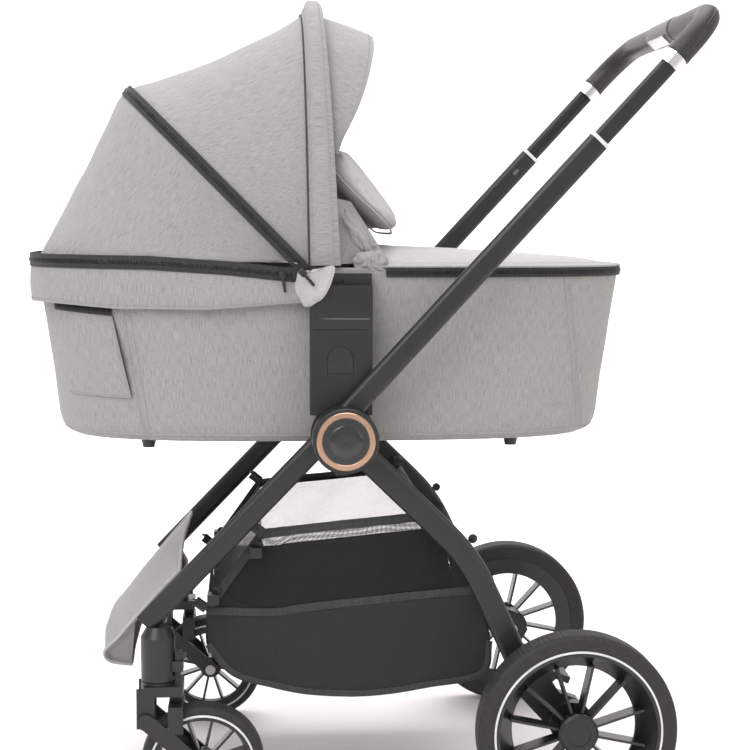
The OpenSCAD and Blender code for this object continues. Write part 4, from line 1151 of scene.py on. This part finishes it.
def build_basket(looks):
    """Cloth basket: solid pockets below, open net above, bound edges, straps and press studs."""
    m = MATERIALS
    middle = [[-186, 288], [-97, 284], [-56, 289], [38, 298], [110, 305], [190, 311]]
    rim = [[-110, 394], [-40, 401], [45, 409], [120, 416]]
    low = [[-184, 240], [-150, 200], [-98, 182], [-40, 170], [40, 167], [120, 177], [196, 192], [207, 238]]
    line = curve(BASKET_LOW, 90)
    across = np.linspace(-1, 1, 61)
    rows = [np.stack([line[:, 0], np.full(90, BASKET_HALF * v), line[:, 1]], axis=1) for v in across]
    under = np.stack(rows, axis=1)
    under[..., 2] -= 3.0 * (1 - (under[..., 1] / BASKET_HALF) ** 2) * np.exp(-((under[..., 0] / 120) ** 2))
    under[..., 2] += looks.wrinkle * 1.2 * noise(under, 38, 50)
    floor_obj = cloth_sheet("basket_floor_cloth", hub(under), 0.0014, ("cloth_black", "cloth_black"),
                            hub([0, 0, 300]), "chassis", slot="cloth_black")
    f = np.linspace(0, 1, 24)[:, None, None]
    wall = np.array([-186, 0, 288]) * (1 - f) + np.array([-110, 0, 394]) * f
    wall = wall + across[None, :, None] * [0, BASKET_HALF, 0]
    wall[..., 0] -= looks.wrinkle * 1.5 * noise(wall, 40, 52)
    front_obj = cloth_sheet("basket_front_cloth", hub(wall), 0.0008, ("net", "net"),
                            hub([0, 0, 300]), "chassis", slot="cloth_black")
    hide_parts("basket")
    for side, name in ((-1, "left"), (1, "right")):
        pocket = side_wall(low, middle, side, 34, 100, 4.0, 54, looks)
        obj = cloth_sheet(f"basket_pocket_{name}", hub(pocket), 0.0014, ("cloth_black", "cloth_black"),
                          hub([0, 0, 280]), "chassis", slot="cloth_black")
        net = side_wall(middle, rim, side, 30, 100, 1.0, 56, looks)
        net_obj = cloth_sheet(f"basket_net_{name}", hub(net), 0.0006, ("net", "net"),
                              hub([0, 0, 340]), "chassis", slot="cloth_black")
        as_sheet(pocket)
        as_sheet(net)
        tapes = []
        for k, (edge, wide) in enumerate(((pocket[-1], 0.011), (net[-1], 0.013), (net[:, 0], 0.012),
                                          (net[:, -1], 0.012), (pocket[0], 0.009))):
            path = hub(edge + [0, side * 0.7, 0])
            tapes.append(sweep(path, strip(wide, 0.0016), (0, side, 0)))
            row = stitches(path + [0, side * 0.0016, 0], (0, side, 0), STITCH)
            sew(f"basket_stitches_{k + 1}_{name}", row, "thread_dark", "chassis", "cloth_black")
        both = merge(*tapes)
        sew(f"basket_binding_{name}", both, "binding", "chassis", "cloth_black")
        studs = []
        for x, z in ((-114, 379), (-172, 315), (124, 408), (186, 352), (181, 384)):
            dome = lathe([[0.0001, 0.0024], [0.0045, 0.0022], [0.0062, 0.001], [0.0066, 0.0], [0.0001, 0.0]],
                         turns=24)
            studs.append(fitted(dome, side, hub([x, side * 200.5, z])))
        both = merge(*studs)
        make(f"basket_studs_{name}", *both, m["plastic_black"], "chassis", slot="plastic_black")
        build_straps(side, name)
    path = hub([[120, v * BASKET_HALF, 416] for v in np.linspace(-1, 1, 30)])
    sew("basket_rear_cord", sweep(path, circle(0.0045, 10)), "binding", "chassis", "cloth_black")
    as_sheet(under)
    as_sheet(wall)


def build_straps(side, name):
    """Webbing that hangs the basket from the legs: three short loops, each with a buckle."""
    y = side * 199.0
    loops = []
    for a, b in (((-110, 394), (-122, 410)), ((-186, 290), (-200, 306)), ((120, 416), (118, 432))):
        path = curve([[a[0], y, a[1]], [(a[0] + b[0]) / 2, side * 206, (a[1] + b[1]) / 2 + 3],
                      [b[0], side * 214.5, b[1]]], 16)
        loops.append(sweep(hub(path), strip(0.014, 0.0016), (0, side * 0.3, 1)))
        buckle = block(0.019, 0.014, 0.0045)
        at = hub([[(a[0] + b[0]) / 2, side * 203, (a[1] + b[1]) / 2]])
        frames = (np.array([[0.6, 0, 0.8]]), np.array([[0, side, 0.0]]))
        loops.append(outward(place_all(*buckle, at, frames[0], frames[1], np.cross(*frames)), at[0]))
    both = merge(*loops)
    sew(f"basket_straps_{name}", both, "binding", "chassis", "cloth_black")


def build_panel(looks):
    """Front foot panel: padded cloth between the front legs, bound and welted along its edges."""
    line = curve(PANEL_LINE, 60)
    half = curve(np.stack([np.arange(7), PANEL_HALF], axis=1), 60)[:, 1]
    s = np.linspace(-1, 1, 81)
    grid = np.zeros((60, 81, 3))
    bulge = 15.0 * (1 - s**2)[None, :] * np.sin(np.linspace(0.3, 2.9, 60))[:, None]
    grid[..., 0] = line[:, 0][:, None] - bulge * 0.7 + 7.6
    grid[..., 1] = half[:, None] * s[None, :]
    grid[..., 2] = line[:, 1][:, None] + bulge * 0.7 + 0.4
    grid[..., 0] -= looks.wrinkle * (0.9 * noise(grid, 55, 60) + 0.3 * noise(grid, 18, 61))
    obj = cloth_sheet("front_panel_cloth", hub(grid), 0.0045, ("cloth_grey", "cloth_grey"),
                      hub([-180, 0, 230]), "chassis")
    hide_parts("front_panel")
    loop = np.concatenate([grid[:, 0], grid[-1, 1:-1], grid[::-1, -1], grid[0, ::-1][1:-1]])
    loop = resample(np.vstack([loop, loop[:1]]), count=420)[:-1]
    centre = np.array([-290, 0, 240])
    outer = unit(loop - centre) * 1.2 + loop
    sew("front_panel_welt", sweep(hub(outer), circle(0.0022, 10), (-0.7, 0, 0.7), closed=True),
        "cloth_light", "chassis", "cloth_grey")
    for side, name in ((0, "left"), (-1, "right")):
        edge = grid[26:, side]
        f = np.linspace(0, 1, len(edge))[:, None]
        chord = edge[:1] * (1 - f) + edge[-1:] * f
        g = np.linspace(0.04, 1, 14)[:, None, None]
        cheek = edge[None] * (1 - g) + chord[None] * g
        cheek[..., 1] *= 0.985
        obj = cloth_sheet(f"front_panel_cheek_{name}", hub(cheek), 0.002,
                          ("cloth_grey", "cloth_grey"), hub([-320, 0, 200]), "chassis")
        as_sheet(cheek)
    inner = loop - unit(loop - centre) * 7.0 + [-1.2, 0, 1.0]
    sew("front_panel_stitches", stitches(hub(inner), (-0.7, 0, 0.7), STITCH),
        "thread", "chassis", "cloth_grey")
    for k, z in enumerate((222, 232)):
        at = int(np.argmin(np.abs(grid[:, 40, 2] - z)))
        row = stitches(hub(grid[at, 4:-4] + [-1.4, 0, 1.0]), (-0.7, 0, 0.7), STITCH)
        sew(f"front_panel_row_{k + 1}", row, "thread", "chassis", "cloth_grey")


def grip_line(side, step=220):
    """Centre line of one half of the grip: straight, a 66 mm corner, then along the cross bar."""
    inner, top = GRIP_HALF - GRIP_CORNER, GRIP_AT - GRIP_CORNER
    pts = [[GRIP_HALF, top - 15 * (1 - a)] for a in np.linspace(0, 1, 30)]
    pts += [[inner + GRIP_CORNER * math.cos(a), top + GRIP_CORNER * math.sin(a)]
            for a in np.linspace(0, np.pi / 2, 60)]
    pts += [[inner - (inner - 56.5) * a, GRIP_AT] for a in np.linspace(0, 1, 60)]
    pts = resample(np.array(pts), count=step)
    lean_cos, lean_sin = math.cos(HANDLE_LEAN), math.sin(HANDLE_LEAN)
    return np.stack([pts[:, 1] * lean_cos - HANDLE_OFFSET * lean_sin, side * pts[:, 0],
                     HUB_Z + pts[:, 1] * lean_sin + HANDLE_OFFSET * lean_cos], axis=1)


def build_grip():
    """Leather grip with its stitched seam and end beads."""
    m = MATERIALS
    up = np.array([-math.sin(HANDLE_LEAN), 0, math.cos(HANDLE_LEAN)])
    for side, name in ((-1, "left"), (1, "right")):
        path = hub(grip_line(side))
        section = circle(GRIP_R, 56)
        size = 1 + 0.03 * np.exp(-((np.arange(len(path)) - 3) / 2.5) ** 2)
        size = size + 0.03 * np.exp(-((np.arange(len(path)) - len(path) + 4) / 2.5) ** 2)
        verts, faces = sweep(path, section, up, scale=size)
        arc = np.concatenate([[0], np.cumsum(np.linalg.norm(np.diff(path, axis=0), axis=1))])
        place = np.stack(np.meshgrid(np.arange(56) * 2 * np.pi * GRIP_R / 56, arc), axis=-1).reshape(-1, 2)
        obj = make(f"grip_leather_{name}", verts, faces, m["grip_leather"], "handle_slide", place,
                   slot="grip_leather")
        if side < 0:
            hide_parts("grip_cover")
        tangent, ups, _ = path_frames(path, up)
        toward = -unit(np.cross(tangent, np.broadcast_to(up, tangent.shape)) * side)
        seam = path + toward * 0.0166
        sew(f"grip_seam_{name}", sweep(seam, circle(0.0011, 8), toward),
            "grip_leather", "handle_slide", "grip_leather")
        for k, s in enumerate((-1, 1)):
            line = path + unit(toward + ups * 0.24 * s) * 0.0169
            sew(f"grip_stitches_{k + 1}_{name}", stitches(line, toward, 0.0046, length=0.003, radius=0.0005),
                "thread_dark", "handle_slide", "grip_leather")


def wheel_trim(name, centre, radius, face, side, body):
    """White stripe and bead at the tyre's seat, and screws round the hub of one wheel."""
    m = MATERIALS
    seat = radius * 0.82
    x, z = centre
    parts = []
    stripe = lathe([[seat + 0.0006, -0.0012], [seat + 0.0031, -0.0012], [seat + 0.0034, 0.0005],
                    [seat + 0.0026, 0.0014], [seat + 0.0006, 0.0012], [seat + 0.0006, -0.0012]], turns=128)
    at = np.array([x, side * face, z])
    make(f"stripe_{name}", *fitted(stripe, side, at), m["stripe"], body, slot="tyre")
    bead = lathe([[seat - 0.0042, -0.002], [seat - 0.0001, -0.002], [seat - 0.0001, 0.001],
                  [seat - 0.0016, 0.0018], [seat - 0.0042, 0.0006], [seat - 0.0042, -0.002]], turns=128)
    parts.append(fitted(bead, side, at))
    count = 6
    for k in range(count):
        a = 2 * np.pi * (k + 0.4) / count
        r = radius * 0.145
        screw = lathe([[0.00005, 0.0016], [0.0014, 0.0016], [0.0022, 0.0008], [0.0022, -0.002],
                       [0.00005, -0.002]], turns=12)
        at = np.array([x + r * math.cos(a), side * (face - 0.004), z + r * math.sin(a)])
        parts.append(fitted(screw, side, at))
    make(f"wheel_trim_{name}", *merge(*parts), m["rim_black"], body, slot="rim_black")


def build_wheels():
    """Stripes and trims of the four wheels, and tyres whose tread follows each wheel's centre."""
    m = MATERIALS
    for side, name in ((-1, "left"), (1, "right")):
        for kind in ("rear", "front"):
            low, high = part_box(f"{kind}_tyre_{name}")
            x, z = (low[0] + high[0]) / 2, (low[2] + high[2]) / 2
            radius = (high[0] - low[0]) / 2
            rubber = tread(f"{kind} tyre {name}", (0.024, 0.023, 0.023), (x, z), radius)
            dress(f"{kind}_tyre_{name}", rubber)
            dress(f"{kind}_rim_{name}", m["rim_black"])
            face = max(abs(low[1]), abs(high[1])) - 0.0008
            inner = min(abs(low[1]), abs(high[1])) + 0.0008
            body = f"{kind}_wheel_{name}"
            wheel_trim(f"{kind}_{name}", (x, z), radius, face, side, body)
            if kind == "front":
                wheel_trim(f"front_inner_{name}", (x, z), radius, inner, side, body)


def dress(node, material, bevel=0.0):
    """Gives a CAD node its finish, and rounds its edges where asked."""
    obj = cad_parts[node]
    obj.data.materials.clear()
    obj.data.materials.append(material)
    if bevel:
        edge = obj.modifiers.new("Edges", "BEVEL")
        edge.width = bevel
        edge.segments = 2
        edge.limit_method = "ANGLE"
        edge.angle_limit = math.radians(40)
        edge.harden_normals = True


def build_hub_trim():
    """Ring of dots and raised disc on each hub cap, and the glossy band of each bracket."""
    m = MATERIALS
    for side, name in ((-1, "left"), (1, "right")):
        parts = []
        for k in range(18):
            a = 2 * np.pi * k / 18
            r = 26.0
            dot = lathe([[0.00005, 0.0007], [0.0009, 0.0006], [0.0012, 0.0], [0.00005, 0.0]], turns=10)
            at = hub([r * math.cos(a), side * 279.2, HUB_Z + r * math.sin(a)])
            parts.append(fitted(dot, side, at))
        cup = lathe([[0.00005, 0.0009], [0.012, 0.0012], [0.0205, 0.0007], [0.0215, 0.0], [0.00005, 0.0]],
                    turns=72)
        parts.append(fitted(cup, side, hub([0, side * 279.2, HUB_Z])))
        make(f"hub_cap_trim_{name}", *merge(*parts), m["gloss_black"], "handle", slot="gloss_black")
        band = block(0.0815, 0.0226, 0.0009)
        at = hub([[-3.5, side * 232.05, 683]])
        frames = (np.array([[0, 0, 1.0]]), np.array([[0, side, 0.0]]))
        plate = outward(place_all(*band, at, frames[0], frames[1], np.cross(*frames)), at[0])
        make(f"bracket_band_{name}", *plate, m["gloss_black"], "carrycot", slot="gloss_black")


def build_finishes():
    """Material and edge rounding of every CAD node that shows."""
    m = MATERIALS
    table = {
        "frame_black": ("front_legs", "hub_plates", "rear_legs", "handle_tubes", "slide_tube",
                        "front_crossbar", "rear_crossbar", "fork_head_left", "fork_head_right",
                        "swing_arm_left", "swing_arm_right", "front_sockets"),
        "plastic_black": ("adapter_posts", "brake_housings", "brake_pedal", "hub_casings", "cot_brackets",
                          "cot_feet", "rear_cap_left", "rear_cap_right", "swivel_lock_left",
                          "swivel_lock_right", "basket_clips", "hood_bow"),
        "gloss_black": ("hub_caps", "release_button_left", "release_button_right"),
        "rose_gold": ("hub_rings",),
        "chrome": ("grip_rings",),
        "steel": ("hub_pins", "rear_axles", "front_axle_left", "front_axle_right", "fold_trigger"),
        "ferrule_white": ("handle_ferrules",),
        "housing_grey": ("trigger_housing", "slide_button_left", "slide_button_right"),
        "rubber": ("buffer_left", "buffer_right"),
        "lining": ("mattress",),
        "cloth_grey": ("cot_shell", "apron", "wind_flap", "hood_rear_panel", "hood_front_panel", "hood_band",
                       "hood_visor", "front_panel", "cot_rim"),
        "cloth_black": ("basket",),
        "grip_leather": ("grip_cover",),
    }
    rounded = {"adapter_posts": 0.0016, "brake_pedal": 0.0016, "hub_casings": 0.0012, "cot_brackets": 0.0012,
               "release_button_left": 0.001, "release_button_right": 0.001, "fold_trigger": 0.001,
               "basket_clips": 0.0008, "hub_caps": 0.0008, "grip_rings": 0.001, "fork_head_left": 0.003,
               "fork_head_right": 0.003, "swing_arm_left": 0.002, "swing_arm_right": 0.002,
               "front_sockets": 0.002, "brake_housings": 0.003, "hub_plates": 0.0008}
    for material, nodes in table.items():
        for node in nodes:
            dress(node, m[material], rounded.get(node, 0.0))


# ---------------------------------------------------------------- stage
def area_light(name, at, aim, size, power, colour=(1, 1, 1)):
    """A soft square light at a place, turned to face another."""
    lamp = bpy.data.lights.new(name, "AREA")
    lamp.shape = "RECTANGLE"
    lamp.size, lamp.size_y = size
    lamp.energy = power
    lamp.color = colour
    obj = bpy.data.objects.new(name, lamp)
    bpy.context.scene.collection.objects.link(obj)
    forward = unit(np.asarray(aim, float) - np.asarray(at, float))
    right = unit(np.cross(forward, [0.0, 0.02, 1.0]))
    up = np.cross(right, forward)
    obj.matrix_world = Matrix([[right[k], up[k], -forward[k], at[k]] for k in range(3)] + [[0, 0, 0, 1]])
    return obj


def build_camera():
    """Camera that looks a little to the right and a little down, from 2.2 m to the left side."""
    yaw, pitch, roll = math.radians(4.907), math.radians(5.939), math.radians(-0.324)
    forward = np.array([math.sin(yaw) * math.cos(pitch), math.cos(yaw) * math.cos(pitch), -math.sin(pitch)])
    right = np.array([math.cos(yaw), -math.sin(yaw), 0.0])
    up = np.cross(right, forward)
    right_turned = math.cos(roll) * right - math.sin(roll) * up
    up_turned = math.cos(roll) * up + math.sin(roll) * right
    data = bpy.data.cameras.new("Camera")
    data.lens, data.sensor_width = 71.41, 36.0
    data.clip_start, data.clip_end = 0.05, 60.0
    camera = bpy.data.objects.new("Camera", data)
    bpy.context.scene.collection.objects.link(camera)
    at = (-0.16998, -2.2036, 0.821)
    camera.matrix_world = Matrix([[right_turned[k], up_turned[k], -forward[k], at[k]] for k in range(3)]
                                 + [[0, 0, 0, 1]])
    bpy.context.scene.camera = camera


def build_stage():
    """Pale floor that curves up behind, soft studio lights and a white surround."""
    s = Shader("studio floor", (0.93, 0.915, 0.905), 0.75)
    tone = s.noise("object", (0.7, 0.7, 0.7), 3.0)
    s.colours(tone, [(0.3, (0.915, 0.89, 0.875)), (0.7, (0.94, 0.92, 0.91))])
    angle = np.linspace(0, np.pi / 2, 24)
    run = [[-5.0, 0.0], [0.0, 0.0], [1.8, 0.0]]
    run += [[1.8 + 1.5 * math.sin(a), 1.5 - 1.5 * math.cos(a)] for a in angle[1:]]
    run += [[3.3, 5.0]]
    run = np.array(run)
    x = np.linspace(-6, 6, 9)
    grid = np.stack([np.stack([np.full(len(run), v), run[:, 0], run[:, 1]], axis=1) for v in x], axis=1)
    grid[..., 2] -= 0.0004
    floor = make("studio_floor", grid.reshape(-1, 3), grid_quads(len(run), 9)[:, ::-1], s.mat, crease=180)
    world = bpy.data.worlds.new("Studio")
    bpy.context.scene.world = world
    world.use_nodes = True
    world.node_tree.nodes["Background"].inputs["Color"].default_value = (1.0, 0.99, 0.98, 1.0)
    world.node_tree.nodes["Background"].inputs["Strength"].default_value = 0.7
    lights = [
        area_light("Key", (-1.6, -2.4, 3.0), (0, 0, 0.6), (2.4, 2.4), 72),
        area_light("Fill", (2.6, -2.0, 1.6), (0, 0, 0.5), (2.0, 2.0), 16, (1.0, 0.95, 0.92)),
        area_light("Top", (0.0, 0.6, 3.4), (0, 0, 0.4), (3.0, 3.0), 72),
        area_light("Backdrop", (0.0, 1.4, 2.6), (0.0, 3.2, 1.2), (4.0, 1.6), 60),
    ]
    bpy.context.scene.view_settings.view_transform = "Standard"
    build_camera()


# ---------------------------------------------------------------- add-on
class StrollerLooks(bpy.types.PropertyGroup):
    """Colours and sizes that the cloth and the trims take."""

    cloth_colour: bpy.props.FloatVectorProperty(
        name="Cloth", description="Colour of the grey heather cloth", subtype="COLOR",
        size=3, min=0.0, max=1.0, default=(0.315, 0.309, 0.306))
    frame_colour: bpy.props.FloatVectorProperty(
        name="Frame", description="Colour of the powder-coated frame", subtype="COLOR",
        size=3, min=0.0, max=1.0, default=(0.014, 0.0137, 0.014))
    ring_colour: bpy.props.FloatVectorProperty(
        name="Hub ring", description="Colour of the plated hub rings", subtype="COLOR",
        size=3, min=0.0, max=1.0, default=(0.56, 0.36, 0.26))
    wrinkle: bpy.props.FloatProperty(
        name="Wrinkles", description="Depth of the folds in the cloth, 1 as built",
        min=0.0, max=2.0, default=1.0)


def looks_now():
    """The scene's settings for the stroller."""
    return bpy.context.scene.stroller_looks


class STROLLER_OT_finishes(bpy.types.Operator):
    """Makes the materials and gives the frame's parts their finishes"""

    bl_idname = "stroller.finishes"
    bl_label = "Finishes"

    def execute(self, context):
        MATERIALS.clear()
        MATERIALS.update(all_materials(looks_now()))
        build_finishes()
        return {"FINISHED"}


class STROLLER_OT_hood(bpy.types.Operator):
    """Builds the hood's cloth, zips, band, visor and skirt"""

    bl_idname = "stroller.hood"
    bl_label = "Hood"

    def execute(self, context):
        build_hood(looks_now())
        build_skirt(looks_now())
        return {"FINISHED"}


class STROLLER_OT_carrycot(bpy.types.Operator):
    """Builds the carrycot's cloth body, mattress, pocket, apron and wind flap"""

    bl_idname = "stroller.carrycot"
    bl_label = "Carrycot"

    def execute(self, context):
        build_cot(looks_now())
        build_apron(looks_now())
        build_flap()
        return {"FINISHED"}


class STROLLER_OT_basket(bpy.types.Operator):
    """Builds the basket and the front foot panel"""

    bl_idname = "stroller.basket"
    bl_label = "Basket and foot panel"

    def execute(self, context):
        build_basket(looks_now())
        build_panel(looks_now())
        return {"FINISHED"}


class STROLLER_OT_trims(bpy.types.Operator):
    """Builds the grip, the wheels' trims and the hub's details"""

    bl_idname = "stroller.trims"
    bl_label = "Grip, wheels and hubs"

    def execute(self, context):
        build_grip()
        build_wheels()
        build_hub_trim()
        return {"FINISHED"}


class STROLLER_OT_stage(bpy.types.Operator):
    """Builds the floor, the lights and the camera"""

    bl_idname = "stroller.stage"
    bl_label = "Studio"

    def execute(self, context):
        build_stage()
        return {"FINISHED"}


class STROLLER_PT_panel(bpy.types.Panel):
    """Sidebar panel with the settings and one button per step"""

    bl_label = "Stroller"
    bl_idname = "STROLLER_PT_panel"
    bl_space_type = "VIEW_3D"
    bl_region_type = "UI"
    bl_category = "Stroller"

    def draw(self, context):
        for key in ("cloth_colour", "frame_colour", "ring_colour", "wrinkle"):
            self.layout.prop(context.scene.stroller_looks, key)
        for step in OPERATORS:
            self.layout.operator(step.bl_idname)


OPERATORS = (STROLLER_OT_finishes, STROLLER_OT_hood, STROLLER_OT_carrycot, STROLLER_OT_basket,
             STROLLER_OT_trims, STROLLER_OT_stage)


def register():
    """Registers the settings, the steps and the panel."""
    for cls in (StrollerLooks, *OPERATORS, STROLLER_PT_panel):
        bpy.utils.register_class(cls)
    bpy.types.Scene.stroller_looks = bpy.props.PointerProperty(type=StrollerLooks)


def unregister():
    """Takes the settings, the steps and the panel away again."""
    del bpy.types.Scene.stroller_looks
    for cls in (STROLLER_PT_panel, *reversed(OPERATORS), StrollerLooks):
        bpy.utils.unregister_class(cls)


def main():
    """Runs every step in order."""
    register()
    for step in OPERATORS:
        group, action = step.bl_idname.split(".")
        getattr(getattr(bpy.ops, group), action)()


if __name__ == "__main__":
    main()
